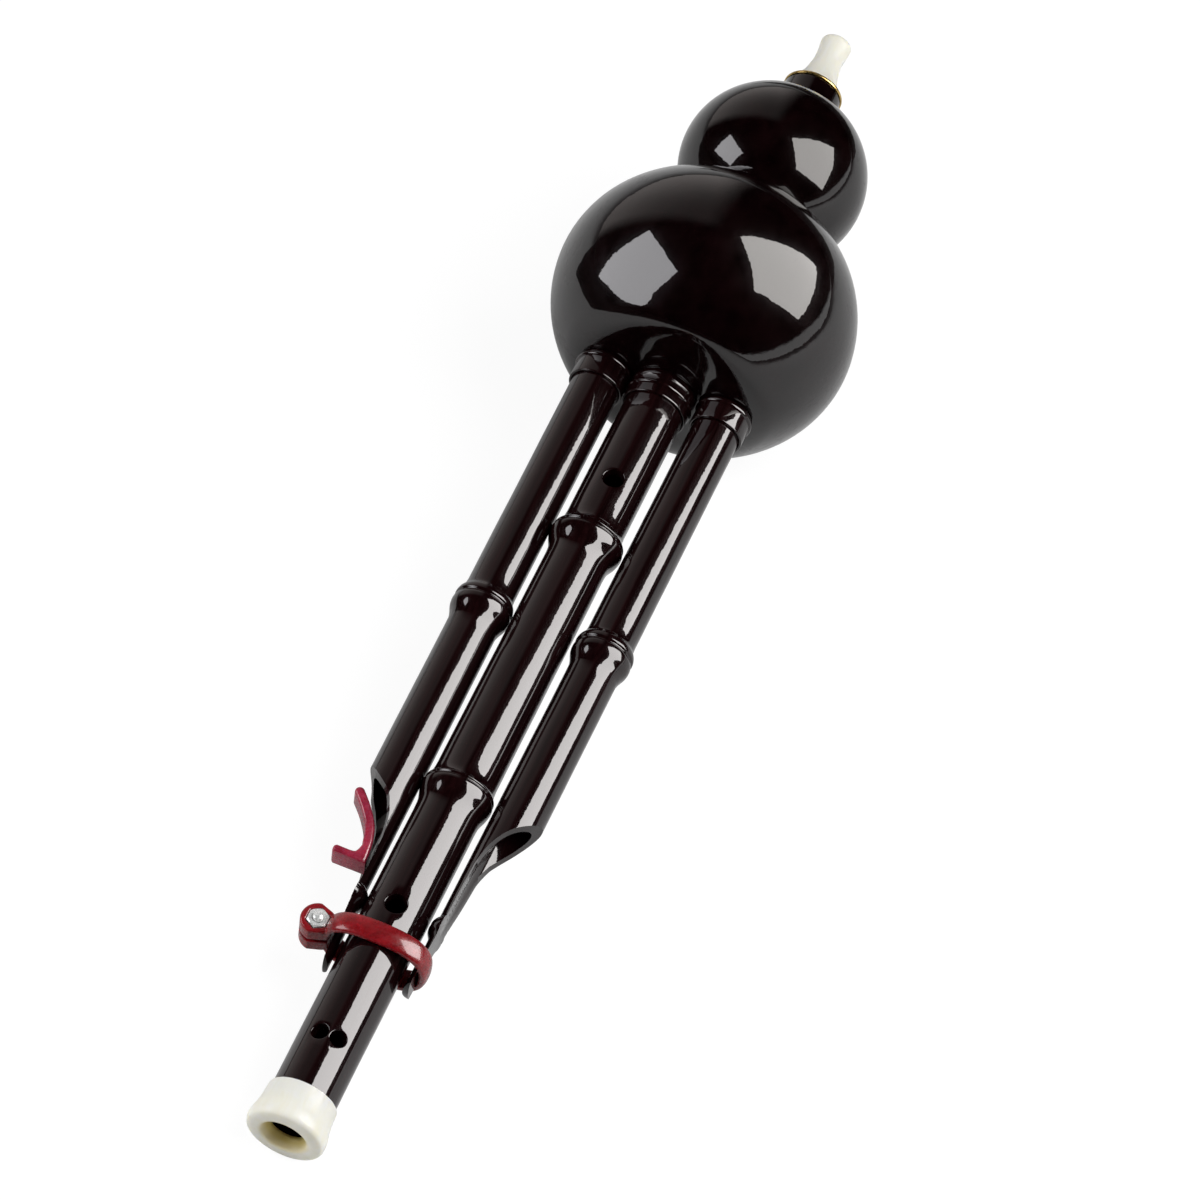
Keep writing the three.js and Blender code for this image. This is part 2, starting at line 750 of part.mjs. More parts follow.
// Tip at which the bell cap and the lower bulb touch one level floor
function lowestPoint(geometry, tilt) {
  const position = geometry.getAttribute('position');
  let lowest = Infinity;
  for (let i = 0; i < position.count; i += 1) {
    const height = position.getY(i) * Math.sin(tilt) + position.getZ(i) * Math.cos(tilt);
    lowest = Math.min(lowest, height);
  }
  return lowest;
}

function restingTilt(bell, bulb) {
  let low = 0;
  let high = Math.PI / 8;
  for (let i = 0; i < 40; i += 1) {
    const middle = (low + high) / 2;
    if (lowestPoint(bulb, middle) < lowestPoint(bell, middle)) low = middle;
    else high = middle;
  }
  return (low + high) / 2;
}

const instrument = new THREE.Group();
instrument.add(
  gourdAssembly(),
  mainPipeAssembly(),
  droneAssembly('left'),
  droneAssembly('right'),
  clampAssembly(),
);
const bellGeometry = instrument.getObjectByName('bell_cap').geometry;
const bulbGeometry = instrument.getObjectByName('gourd_lower_bulb').geometry;
instrument.rotation.x = restingTilt(bellGeometry, bulbGeometry);

// The origin is the middle of the footprint of the whole instrument, on the floor
const hulusi = new THREE.Group();
hulusi.add(instrument);
const extent = new THREE.Box3().setFromObject(hulusi, true);
const middle = extent.getCenter(new THREE.Vector3());
instrument.position.set(-middle.x, -middle.y, -extent.min.z);

export default hulusi;
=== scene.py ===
# %% [markdown]
# # A gourd flute with three reed pipes
#
# The instrument lies on its belly on a white table. A lacquered double gourd is the air
# chamber. A melody pipe of cane runs down the middle, with a drone pipe on either side of it.
# A red clamp band holds the three pipes near the bell, and a red thumb rest sits on the left
# drone. The mouthpiece and the cap on the bell are ivory-coloured plastic.
#
# The engineering model comes in as a fixed frame. Every visible piece is then made again here
# with finer forms and a finish of its own, exactly where the frame has it.

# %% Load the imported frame
import math

import bmesh
import bpy
from mathutils import Matrix, Quaternion, Vector, noise


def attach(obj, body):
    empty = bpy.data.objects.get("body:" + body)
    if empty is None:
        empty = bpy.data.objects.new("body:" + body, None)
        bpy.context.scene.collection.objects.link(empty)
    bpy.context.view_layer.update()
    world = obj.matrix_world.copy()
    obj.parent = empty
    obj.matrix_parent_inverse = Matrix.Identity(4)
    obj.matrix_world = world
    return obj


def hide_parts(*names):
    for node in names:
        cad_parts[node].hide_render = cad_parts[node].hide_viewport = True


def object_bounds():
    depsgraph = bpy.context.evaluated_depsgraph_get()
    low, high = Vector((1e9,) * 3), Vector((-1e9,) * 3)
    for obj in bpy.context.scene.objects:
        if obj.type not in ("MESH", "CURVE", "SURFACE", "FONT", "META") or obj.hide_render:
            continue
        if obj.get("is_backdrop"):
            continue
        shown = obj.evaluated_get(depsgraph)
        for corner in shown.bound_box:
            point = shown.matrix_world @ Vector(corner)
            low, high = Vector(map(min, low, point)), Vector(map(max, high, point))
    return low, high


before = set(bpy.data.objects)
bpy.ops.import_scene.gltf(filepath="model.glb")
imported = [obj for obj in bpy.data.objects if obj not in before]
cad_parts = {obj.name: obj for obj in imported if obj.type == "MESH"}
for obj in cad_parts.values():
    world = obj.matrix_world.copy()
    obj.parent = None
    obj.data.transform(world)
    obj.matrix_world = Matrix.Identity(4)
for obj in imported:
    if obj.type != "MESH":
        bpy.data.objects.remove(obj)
cad_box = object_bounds()
print("CAD box in metres:", [tuple(round(v, 4) for v in corner) for corner in cad_box])

# %% [markdown]
# ## Axes of the instrument
#
# All pieces are worked out in the maker's own axes, in millimetres: Y runs along the melody
# pipe from the bell to the gourd, and Z points out of its back. The whole thing lies tipped on
# the table, because the gourd is much fatter than the bell. One matrix lays a finished mesh
# down, so that each object can stay at the origin with its place in its mesh.

# %% Lay-down matrix
TIP = math.radians(6.681602949610123)
BELL_PLACE = Vector((0.0, -0.20600903, 0.01101088))
MM = 0.001
LAY_DOWN = Matrix.Translation(BELL_PLACE) @ Matrix.Rotation(TIP, 4, "X") @ Matrix.Scale(MM, 4)
print("bell lies at", tuple(round(v, 4) for v in LAY_DOWN @ Vector((0, 0, 0))))

# %% [markdown]
# ## Camera
#
# The photograph looks down on the back of the instrument from the bell end, a little from the
# right, through a long lens. The place, turn and lens were solved from the pipes' straight
# sides, the round rims and the outlines of the gourd.

# %% Camera
PHOTO_SIDE = 1200
FOCAL_PIXELS = 4834.822
camera_data = bpy.data.cameras.new("camera")
camera_data.sensor_width = 36
camera_data.lens = FOCAL_PIXELS / PHOTO_SIDE * camera_data.sensor_width
camera_data.clip_end = 20
camera = bpy.data.objects.new("camera", camera_data)
camera.location = (0.19675474, -0.88805604, 1.07074834)
camera.rotation_mode = "QUATERNION"
camera.rotation_quaternion = Quaternion((0.9162645, 0.3477838, -0.0013278, 0.1987563))
bpy.context.scene.collection.objects.link(camera)
bpy.context.scene.camera = camera
bpy.context.scene.view_settings.view_transform = "Standard"
print("lens", round(camera_data.lens, 2), "mm")

# %% [markdown]
# ## Studio lamps
#
# Two square softboxes stand a metre away, left and right of the gourd. What the eye sees of
# them is their image in the lacquer, and a bulb, a bud and a pipe each show that image in a
# place of their own. One lamp could only be right for one of them. So each softbox is hung as
# a lamp that gives soft light and no image, and as further lamps that give only an image, each
# to one group of pieces by light linking. Their places follow from the images in the
# photograph, traced back over the skin that shows them.

# %% Studio lamps
GOURD_MIDDLE = (0, 300, 0)
PIPE_MIDDLE = (0, 200, 0)
SOFTBOX_AWAY = 1000
IMAGE_AWAY = 990  # lamps in the very same place would hide each other
PLAIN_TINT = (1, 1, 1)
RIGHT_TINT = (1.0, 0.97, 0.94)
LEFT_TINT = (0.98, 0.97, 1.0)
PIPE_TINT = (1.0, 0.97, 0.96)
mirrors = {name: bpy.data.collections.new(name) for name in ("big_bulb", "small_bulb", "pipes")}


def hang_softbox(name, over, away, facing, across, offset, size, radiance, tint, shown_in=()):
    """Hang a lamp that faces a place; it gives soft light, or only a mirror image in some pieces."""
    out = Vector(facing).normalized()
    side = (Vector(across) - out * out.dot(Vector(across))).normalized()
    up = out.cross(side)
    turn = Matrix((side, up, out)).transposed().to_4x4()
    lamp_data = bpy.data.lights.new(name, "AREA")
    lamp_data.shape = "RECTANGLE"
    lamp_data.size, lamp_data.size_y = size
    lamp_data.energy = radiance * math.pi * size[0] * size[1]
    lamp_data.color = tint
    lamp = bpy.data.objects.new(name, lamp_data)
    place = Vector(over) + away * (out + side * offset[0] + up * offset[1])
    lamp.matrix_world = Matrix.Translation(LAY_DOWN @ place) @ Matrix.Rotation(TIP, 4, "X") @ turn
    lamp.visible_camera = False
    lamp.visible_diffuse = not shown_in
    lamp.visible_glossy = bool(shown_in)
    bpy.context.scene.collection.objects.link(lamp)
    if shown_in:
        receivers = bpy.data.collections.new(name + "_mirrors")
        for group in shown_in:
            receivers.children.link(mirrors[group])
        lamp.light_linking.receiver_collection = receivers
    print(name, "hangs at", tuple(round(v, 2) for v in lamp.matrix_world.translation))


right_box = {
    "facing": (0.697, 0.35, 0.625), "across": (0.51, 0.371, -0.776),
    "offset": (-0.236, -0.3), "size": (1.02, 1.0)}
left_box = {
    "facing": (-0.815, 0.003, 0.58), "across": (0.5, 0.511, 0.699),
    "offset": (-0.3, -0.3), "size": (0.476, 0.539)}
hang_softbox("right_soft", GOURD_MIDDLE, SOFTBOX_AWAY, **right_box, radiance=4.4, tint=PLAIN_TINT)
hang_softbox("left_soft", GOURD_MIDDLE, SOFTBOX_AWAY, **left_box, radiance=10.0, tint=PLAIN_TINT)
hang_softbox(
    "right_small_image", GOURD_MIDDLE, IMAGE_AWAY, **right_box,
    radiance=6.0, tint=RIGHT_TINT, shown_in=["small_bulb"])
hang_softbox(
    "left_small_image", GOURD_MIDDLE, IMAGE_AWAY, **left_box,
    radiance=4.8, tint=LEFT_TINT, shown_in=["small_bulb", "pipes"])
hang_softbox(
    "right_big_image", GOURD_MIDDLE, away=600, facing=(0.518, 0.621, 0.588),
    across=(0.544, 0.292, -0.787), offset=(-0.095, -0.5), size=(0.628, 0.625),
    radiance=6.8, tint=RIGHT_TINT, shown_in=["big_bulb"])
hang_softbox(
    "left_big_image", GOURD_MIDDLE, away=1000, facing=(-0.823, -0.229, 0.520),
    across=(0.332, 0.548, 0.767), offset=(-0.069, -0.165), size=(0.822, 0.847),
    radiance=5.0, tint=LEFT_TINT, shown_in=["big_bulb"])
hang_softbox(
    "right_pipe_image", PIPE_MIDDLE, away=884, facing=(0.489, 0.139, 0.863),
    across=(-0.737, -0.463, 0.492), offset=(-0.387, 0.064), size=(0.95, 0.8),
    radiance=9.8, tint=PIPE_TINT, shown_in=["pipes"])

# %% [markdown]
# ## Shader helpers
#
# The room, the stage and the finishes are all node trees. A few short helpers add a node, set
# its sockets by name and link it, so that a finish below reads as a recipe and not as wiring.

# %% Shader helpers
WHITE = (1, 1, 1, 1)


def grey(level):
    """A grey of one level, solid."""
    return (level, level, level, 1)


def add_node(tree, kind, **settings):
    """Add a shader node of a kind and choose its options."""
    node = tree.nodes.new("ShaderNode" + kind)
    for key, value in settings.items():
        setattr(node, key, value)
    return node


def set_sockets(node, **values):
    """Set sockets by name; a low line stands for the space in a name."""
    for socket, value in values.items():
        node.inputs[socket.replace("_", " ")].default_value = value
    return node


def add_math(tree, operation, first, second):
    """Work one value out from two."""
    maths = add_node(tree, "Math", operation=operation)
    tree.links.new(first, maths.inputs[0])
    tree.links.new(second, maths.inputs[1])
    return maths.outputs[0]


def add_range(tree, factor, low, high, start=0.3, end=0.7, ease="LINEAR"):
    """Run from low to high while a factor runs from start to end."""
    spread = add_node(tree, "MapRange", interpolation_type=ease)
    set_sockets(spread, From_Min=start, From_Max=end, To_Min=low, To_Max=high)
    tree.links.new(factor, spread.inputs["Value"])
    return spread.outputs["Result"]


def add_ramp(tree, factor, stops):
    """Colours between (place, colour) stops."""
    ramp = add_node(tree, "ValToRGB")
    elements = ramp.color_ramp.elements
    while len(elements) > 1:
        elements.remove(elements[-1])
    elements[0].position, elements[0].color = stops[0]
    for place, colour in stops[1:]:
        elements.new(place).color = colour
    tree.links.new(factor, ramp.inputs[0])
    return ramp.outputs["Color"]


def mix_colours(tree, factor, first, second, blend="MIX"):
    """Mix two colours, each a socket or a plain colour."""
    mix = add_node(tree, "Mix", data_type="RGBA", blend_type=blend)
    for socket, value in ((mix.inputs[0], factor), (mix.inputs[6], first), (mix.inputs[7], second)):
        if isinstance(value, bpy.types.NodeSocket):
            tree.links.new(value, socket)
        else:
            socket.default_value = value
    return mix.outputs[2]


def plain_shader(tree, kind, **values):
    """A shader that has the same values everywhere."""
    return set_sockets(add_node(tree, kind), **values).outputs[0]


def mix_shaders(tree, factor, first, second):
    """The first shader where the factor is zero, the second where it is one."""
    mix = add_node(tree, "MixShader")
    for place, source in enumerate((factor, first, second)):
        tree.links.new(source, mix.inputs[place])
    return mix.outputs[0]


def shown_rays(tree):
    """One where a camera, glossy or transmission ray looks, else zero."""
    rays = add_node(tree, "LightPath").outputs
    looks = add_math(tree, "MAXIMUM", rays["Is Camera Ray"], rays["Is Glossy Ray"])
    return add_math(tree, "MAXIMUM", looks, rays["Is Transmission Ray"])


# %% [markdown]
# ## Room
#
# The lacquer is a dark mirror, so most of its look is a picture of the room. The table's far
# edge runs up into a white backdrop, which shows as pale rims. Its height changes all round,
# as that of a paper sweep does. Above it the room is dark, which keeps the lacquer nearly
# black, with one dim warm wall far to the left. This picture is for camera, glossy and
# transmission rays. All other rays find a weak, even light.

# %% Room
ROOM_LIGHT = 0.15
SWEEP_BLUR = 0.02
SWEEP_LIFT = 0.5  # a colour ramp can't hold the heights below zero
SWEEP_EDGE = [
    (-180, -0.1), (-70, -0.06), (-60, 0.02), (-51, 0.08), (-31, 0.09), (5, 0.12), (25, 0.08),
    (42, 0), (100, -0.1), (180, -0.1)]
FAR_WALL_LOW = 0.56
FAR_WALL_HIGH = 0.18
FAR_WALL_TINT = (1.0, 0.92, 0.89, 1)
world = bpy.data.worlds.new("room")
bpy.context.scene.world = world
world.use_nodes = True
room = world.node_tree
room.nodes.clear()
direction = add_node(room, "TexCoord").outputs["Generated"]
towards = add_node(room, "SeparateXYZ")
room.links.new(direction, towards.inputs[0])
around = add_node(room, "TexGradient", gradient_type="RADIAL")
room.links.new(direction, around.inputs["Vector"])
edge_height = add_ramp(room, around.outputs["Fac"], [
    (0.5 + turn / 360, grey(height + SWEEP_LIFT)) for turn, height in SWEEP_EDGE])
over_edge = add_math(room, "SUBTRACT", towards.outputs["Z"], edge_height)
backdrop = add_range(
    room, over_edge, 1, 0, -SWEEP_BLUR - SWEEP_LIFT, SWEEP_BLUR - SWEEP_LIFT, "SMOOTHSTEP")

leftward = add_math(
    room, "MULTIPLY", add_range(room, towards.outputs["X"], 0, 1, -0.05, -0.3, "SMOOTHSTEP"),
    add_range(room, towards.outputs["Y"], 0, 1, 0.2, 0.42, "SMOOTHSTEP"))
upward = add_range(
    room, towards.outputs["Z"], FAR_WALL_LOW, FAR_WALL_HIGH, 0, 0.9, "SMOOTHSTEP")
far_wall = add_ramp(
    room, add_math(room, "MULTIPLY", leftward, upward), [(0, grey(0)), (1, FAR_WALL_TINT)])
seen = add_node(room, "Background")
room.links.new(mix_colours(room, 1, backdrop, far_wall, "LIGHTEN"), seen.inputs["Color"])
even_light = plain_shader(room, "Background", Color=WHITE, Strength=ROOM_LIGHT)
room_out = add_node(room, "OutputWorld")
room.links.new(
    mix_shaders(room, shown_rays(room), even_light, seen.outputs[0]), room_out.inputs["Surface"])
print("room with", len(room.nodes), "nodes")

# %% [markdown]
# ## Table
#
# The instrument lies on a white sheet much wider than the picture. To the camera the sheet
# glows a little less than white and takes some of the lamps' light on top, which makes the
# ground white and still leaves the soft shadow. Glossy rays find it a plain lit grey, because
# that is how dark the gourd shows it. No lamp has to be stronger for the ground's sake.

# %% Table
TABLE_SIDE = 12
LIT_WHITE = 0.8
MIRRORED_WHITE = 0.6
SHADOW_WHITE = 0.14
TABLE_GLOW = 0.9


def loose_object(form, name):
    """Put a finished bmesh into an object of its own."""
    mesh = bpy.data.meshes.new(name)
    form.to_mesh(mesh)
    form.free()
    made = bpy.data.objects.new(name, mesh)
    bpy.context.scene.collection.objects.link(made)
    return made


table_form = bmesh.new()
bmesh.ops.create_grid(table_form, x_segments=1, y_segments=1, size=TABLE_SIDE / 2)
table = loose_object(table_form, "table")
table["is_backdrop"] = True

table_white = bpy.data.materials.new("table_white")
table_white.use_nodes = True
tree = table_white.node_tree
tree.nodes.clear()
lit = plain_shader(tree, "BsdfDiffuse", Color=grey(LIT_WHITE))
mirrored = plain_shader(tree, "BsdfDiffuse", Color=grey(MIRRORED_WHITE))
shown = add_node(tree, "AddShader")
tree.links.new(plain_shader(tree, "BsdfDiffuse", Color=grey(SHADOW_WHITE)), shown.inputs[0])
tree.links.new(plain_shader(tree, "Emission", Color=WHITE, Strength=TABLE_GLOW), shown.inputs[1])
is_glossy = add_node(tree, "LightPath").outputs["Is Glossy Ray"]
looked_at = mix_shaders(tree, is_glossy, shown.outputs[0], mirrored)
table_out = add_node(tree, "OutputMaterial")
tree.links.new(mix_shaders(tree, shown_rays(tree), lit, looked_at), table_out.inputs["Surface"])
table.data.materials.append(table_white)
print("table", TABLE_SIDE, "m square")

# %% [markdown]
# ## Black cards
#
# Parts of the gourd show no white table at all, as when black cards lie just outside the
# picture. Two flat black sheets on the table do the same here. Only reflections see them, so
# they may reach under the instrument, and each outline follows the edge of a dark part of the
# big bulb, traced back to the table.

# %% Black cards
CARD_HEIGHT = 0.002
CARDS = {
    "left_card": [
        (-0.216, 0.096), (-5.5, 1.3), (-5.5, -5.5), (2.8, -5.5), (0.06, -0.5), (-0.07, -0.34),
        (-0.18, -0.16), (-0.23, -0.08), (-0.224, 0.026)],
    "far_card": [(-0.10, 0.36), (0.02, 0.381), (0.211, 0.471), (4.0, 3.6), (4.0, 5.9), (-0.10, 5.9)]}
card_black = bpy.data.materials.new("card_black")
card_black.use_nodes = True
set_sockets(card_black.node_tree.nodes["Principled BSDF"], Base_Color=grey(0.01), Roughness=1)
for name, corners in CARDS.items():
    card_form = bmesh.new()
    card_form.faces.new([card_form.verts.new((x, y, CARD_HEIGHT)) for x, y in corners])
    card = loose_object(card_form, name)
    card.data.materials.append(card_black)
    for ray in ("camera", "diffuse", "transmission", "shadow", "volume_scatter"):
        setattr(card, "visible_" + ray, False)
    card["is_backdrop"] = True
    print(name, len(corners), "corners")

# %% [markdown]
# ## Finishes
#
# Every finish reads Object coordinates. A Mapping node of the Texture kind undoes the
# lay-down matrix, so that patterns are thought out in the maker's millimetres: grain can run
# along the pipes, and turning marks can run round them.

# %% Finish helpers


def start_finish(name, **sockets):
    """A material, its tree and its Principled shader with some sockets set."""
    material = bpy.data.materials.new(name)
    material.use_nodes = True
    tree = material.node_tree
    return material, tree, set_sockets(tree.nodes["Principled BSDF"], **sockets)


def maker_place(tree, stretch=(1, 1, 1)):
    """Object coordinates turned back to the maker's axes; stretch draws a pattern out."""
    mapping = add_node(tree, "Mapping", vector_type="TEXTURE")
    set_sockets(mapping, Location=BELL_PLACE, Rotation=(TIP, 0, 0), Scale=[MM * v for v in stretch])
    tree.links.new(add_node(tree, "TexCoord").outputs["Object"], mapping.inputs["Vector"])
    return mapping.outputs["Vector"]


def add_noise(tree, place, grain, detail=3, roughness=0.5, distortion=0):
    """Noise whose features are about grain millimetres wide."""
    texture = add_node(tree, "TexNoise")
    set_sockets(texture, Scale=1 / grain, Detail=detail, Roughness=roughness, Distortion=distortion)
    tree.links.new(place, texture.inputs["Vector"])
    return texture.outputs["Fac"]


def add_bump(tree, height, depth, under=None):
    """Bump of a depth in millimetres, over another bump if there is one."""
    bump = set_sockets(add_node(tree, "Bump"), Strength=1.0, Distance=depth * MM)
    tree.links.new(height, bump.inputs["Height"])
    if under:
        tree.links.new(under, bump.inputs["Normal"])
    return bump.outputs["Normal"]


def lay_on(tree, shader, colour, bump, roughness=None):
    """Link a colour, a bump and perhaps a varied roughness to a shader."""
    tree.links.new(colour, shader.inputs["Base Color"])
    tree.links.new(bump, shader.inputs["Normal"])
    if roughness:
        tree.links.new(roughness, shader.inputs["Roughness"])


# %% [markdown]
# ### Lacquer
#
# The gourd and the cane carry many coats of a black lacquer with a red-brown ground. Light
# that gets through to the ground comes back as a faint maroon, a little uneven. The top coat
# is glossy, with the soft waviness of brushed lacquer. On the cane, the fibres still show
# through as fine lengthwise lines. A clear coat over a darker ground gives both at once.

# %% Lacquer finishes


def make_lacquer(name, deep, warm, along, streak, wave_depth):
    """Glossy lacquer; along draws the ground's pattern out along the pipes."""
    material, tree, shader = start_finish(
        name, Roughness=0.3, IOR=1.45, Coat_Weight=1.0, Coat_Roughness=0.015, Coat_IOR=1.58,
        Specular_IOR_Level=0.06)
    place = maker_place(tree)
    drawn = maker_place(tree, (1, along, 1))
    cloud = add_noise(tree, drawn, streak, detail=5, roughness=0.6, distortion=0.4)
    wave = add_noise(tree, place, 6, detail=4, roughness=0.5)
    fibre = add_noise(tree, drawn, streak * 0.25, detail=4, roughness=0.7)
    brushed = add_bump(tree, wave, wave_depth)
    grained = add_bump(tree, fibre, wave_depth * 0.12, under=brushed)
    ground = add_ramp(tree, cloud, [(0.3, deep), (0.7, warm)])
    lay_on(tree, shader, ground, grained, add_range(tree, cloud, 0.16, 0.32))
    tree.links.new(brushed, shader.inputs["Coat Normal"])
    return material


gourd_lacquer = make_lacquer(
    "gourd_lacquer", deep=(0.0012, 0.0003, 0.0004, 1), warm=(0.0042, 0.0008, 0.0011, 1),
    along=1.6, streak=7, wave_depth=0.05)
cane_lacquer = make_lacquer(
    "cane_lacquer", deep=(0.0026, 0.0006, 0.0008, 1), warm=(0.0095, 0.0020, 0.0024, 1),
    along=30, streak=1.2, wave_depth=0.045)

# %% [markdown]
# ### Red plastic
#
# The clamp band and the thumb rest are moulded in a slightly clear red. Light goes in a
# little way, so thin edges look brighter and more pink. Subsurface gives that, and a weak flow
# pattern from the mould keeps the colour from being flat. The thumb rest is the pinker one.

# %% Red plastic


def make_red(name, deep, middle, bright):
    """Moulded red plastic with a flow pattern, scuffs and a thin gloss."""
    material, tree, shader = start_finish(
        name, Roughness=0.3, IOR=1.45, Coat_Weight=0.5, Coat_Roughness=0.05, Coat_IOR=1.5,
        Subsurface_Weight=0.3, Subsurface_Scale=0.0012, Subsurface_Radius=(1.0, 0.12, 0.10))
    place = maker_place(tree)
    flow = add_noise(tree, place, 6, detail=2, distortion=1.4)
    scuffs = add_noise(tree, place, 1.1, detail=4, roughness=0.6)
    scuffed = add_bump(tree, scuffs, 0.006, under=add_bump(tree, flow, 0.08))
    colour = add_ramp(tree, flow, [(0.3, deep), (0.55, middle), (0.75, bright)])
    lay_on(tree, shader, colour, scuffed, add_range(tree, scuffs, 0.22, 0.34))
    return material


clamp_red = make_red(
    "clamp_red", (0.14, 0.003, 0.005, 1), (0.215, 0.005, 0.009, 1), (0.265, 0.008, 0.013, 1))
rest_red = make_red(
    "rest_red", (0.20, 0.010, 0.028, 1), (0.28, 0.018, 0.046, 1), (0.34, 0.026, 0.058, 1))

# %% [markdown]
# ### Ivory plastic
#
# The mouthpiece and the bell cap are a milky cream plastic. Light passes well into it.
# Subsurface with a long red and yellow reach gives the milk, and faint veins along the pipe's
# axis imitate ivory as the moulder's swirl does. The amber glow of light through the thin wall
# of the bell's mouth is a painted glow: an amber colour is mixed into the base colour only
# near the axis and near the bell, with two ramps multiplied.

# %% Ivory plastic
# The amber colour is a painted glow that stands in for light coming through the bell's thin wall.
CREAM = (0.75, 0.73, 0.63, 1)
PALE_CREAM = (0.78, 0.775, 0.73, 1)
PAINTED_AMBER_GLOW = (0.62, 0.50, 0.19, 1)
ivory_plastic, tree, shader = start_finish(
    "ivory_plastic", Roughness=0.4, IOR=1.42, Coat_Weight=0.06, Coat_Roughness=0.12,
    Subsurface_Weight=0.5, Subsurface_Scale=0.0025, Subsurface_Radius=(1.0, 0.9, 0.6))
place = maker_place(tree)
swirl = add_noise(
    tree, maker_place(tree, (1, 4, 1)), 3.5, detail=4, roughness=0.55, distortion=1.2)
milk = add_ramp(tree, swirl, [(0.3, CREAM), (0.7, PALE_CREAM)])
parts = add_node(tree, "SeparateXYZ")
tree.links.new(place, parts.inputs[0])
across = add_node(tree, "CombineXYZ")
tree.links.new(parts.outputs["X"], across.inputs["X"])
tree.links.new(parts.outputs["Z"], across.inputs["Z"])
from_axis = add_node(tree, "VectorMath", operation="LENGTH")
tree.links.new(across.outputs[0], from_axis.inputs[0])
inside = add_range(tree, from_axis.outputs["Value"], 1, 0, start=5.6, end=7.6)
near_bell = add_range(tree, parts.outputs["Y"], 1, 0, start=20, end=30)
# Painted glow: the amber is mixed into the colour near the bell's mouth, where light through the
# wall would show.
painted_glow_share = add_math(tree, "MULTIPLY", inside, near_bell)
handling = add_noise(tree, place, 0.9, detail=5, roughness=0.65)
lay_on(tree, shader, mix_colours(tree, painted_glow_share, milk, PAINTED_AMBER_GLOW), add_bump(tree, handling, 0.01),
       add_range(tree, handling, 0.34, 0.5))

# %% [markdown]
# ### Metals, wax and cork
#
# The screw and nut are bright nickel-plated steel, turned or cut, so fine marks run round the
# screw's axis. Their finish is only partly metallic over a near-white colour, a painted sheen
# that stands in for the bright surroundings the plating reflects. The ring on the neck and the
# reeds are rolled brass, warmer where it has tarnished. Wax and cork are inside the gourd and
# show only when a pipe is drawn.

# %% Metals, wax and cork


def make_metal(name, dark, bright, stretch, grain, rough, metallic=1.0):
    """Metal with drawn-out tool marks over a slow change of colour."""
    material, tree, shader = start_finish(name, Metallic=metallic, Roughness=0.2, IOR=2.5)
    marks = add_noise(tree, maker_place(tree, stretch), grain, detail=6, roughness=0.7)
    tarnish = add_noise(tree, maker_place(tree), 1.6, detail=4)
    colour = add_ramp(tree, tarnish, [(0.3, dark), (0.62, bright)])
    lay_on(tree, shader, colour, add_bump(tree, marks, 0.005), add_range(tree, marks, *rough))
    return material


# Painted sheen: metallic 0.4 with a near-white colour lights the steel as if it reflected bright
# surroundings.
steel_painted_sheen = make_metal(
    "steel_painted_sheen", dark=(0.70, 0.72, 0.71, 1), bright=(0.90, 0.91, 0.90, 1),
    stretch=(1, 1, 9), grain=0.5, rough=(0.16, 0.34), metallic=0.4)
rolled_brass = make_metal(
    "rolled_brass", dark=(0.50, 0.33, 0.10, 1), bright=(0.72, 0.52, 0.20, 1),
    stretch=(6, 1, 6), grain=0.4, rough=(0.16, 0.36))

bees_wax, tree, shader = start_finish(
    "bees_wax", Roughness=0.5, IOR=1.44, Subsurface_Weight=0.3, Subsurface_Scale=0.001)
lumps = add_noise(tree, maker_place(tree), 1.8, detail=4)
honey = add_ramp(tree, lumps, [(0.3, (0.10, 0.032, 0.012, 1)), (0.7, (0.21, 0.075, 0.028, 1))])
lay_on(tree, shader, honey, add_bump(tree, lumps, 0.25), add_range(tree, lumps, 0.38, 0.62))

bottle_cork, tree, shader = start_finish("bottle_cork", Roughness=0.85, IOR=1.4)
place = maker_place(tree)
cells = set_sockets(add_node(tree, "TexVoronoi"), Scale=1.7)
tree.links.new(place, cells.inputs["Vector"])
pits = add_noise(tree, place, 0.7, detail=4, roughness=0.7)
grains = mix_colours(
    tree, add_range(tree, pits, 0, 0.7), cells.outputs["Distance"], (0.2, 0.2, 0.2, 1))
bark = add_ramp(tree, grains, [(0.1, (0.22, 0.115, 0.05, 1)), (0.5, (0.50, 0.31, 0.155, 1))])
lay_on(tree, shader, bark, add_bump(tree, pits, 0.2))
print("finishes:", sorted(m.name for m in bpy.data.materials if m.use_nodes))

# %% [markdown]
# ## Ways of making
#
# Most of the instrument is turned work, so one helper spins a half outline once round the
# pipe's axis. Others round the corners of an outline and run a smooth curve through a short
# table, so that a form can be written down as a few shares of its size.

# %% Outline helpers


def smooth_through(points, steps=5):
    """Points of a smooth curve through the given points."""
    out = []
    for i in range(len(points) - 1):
        a, b = points[max(i - 1, 0)], points[i]
        c, d = points[i + 1], points[min(i + 2, len(points) - 1)]
        for k in range(steps):
            t = k / steps
            out.append(tuple(
                0.5 * (2 * q + (r - p) * t + (2 * p - 5 * q + 4 * r - s) * t * t
                       + (3 * q - p - 3 * r + s) * t ** 3)
                for p, q, r, s in zip(a, b, c, d)))
    return out + [tuple(points[-1])]


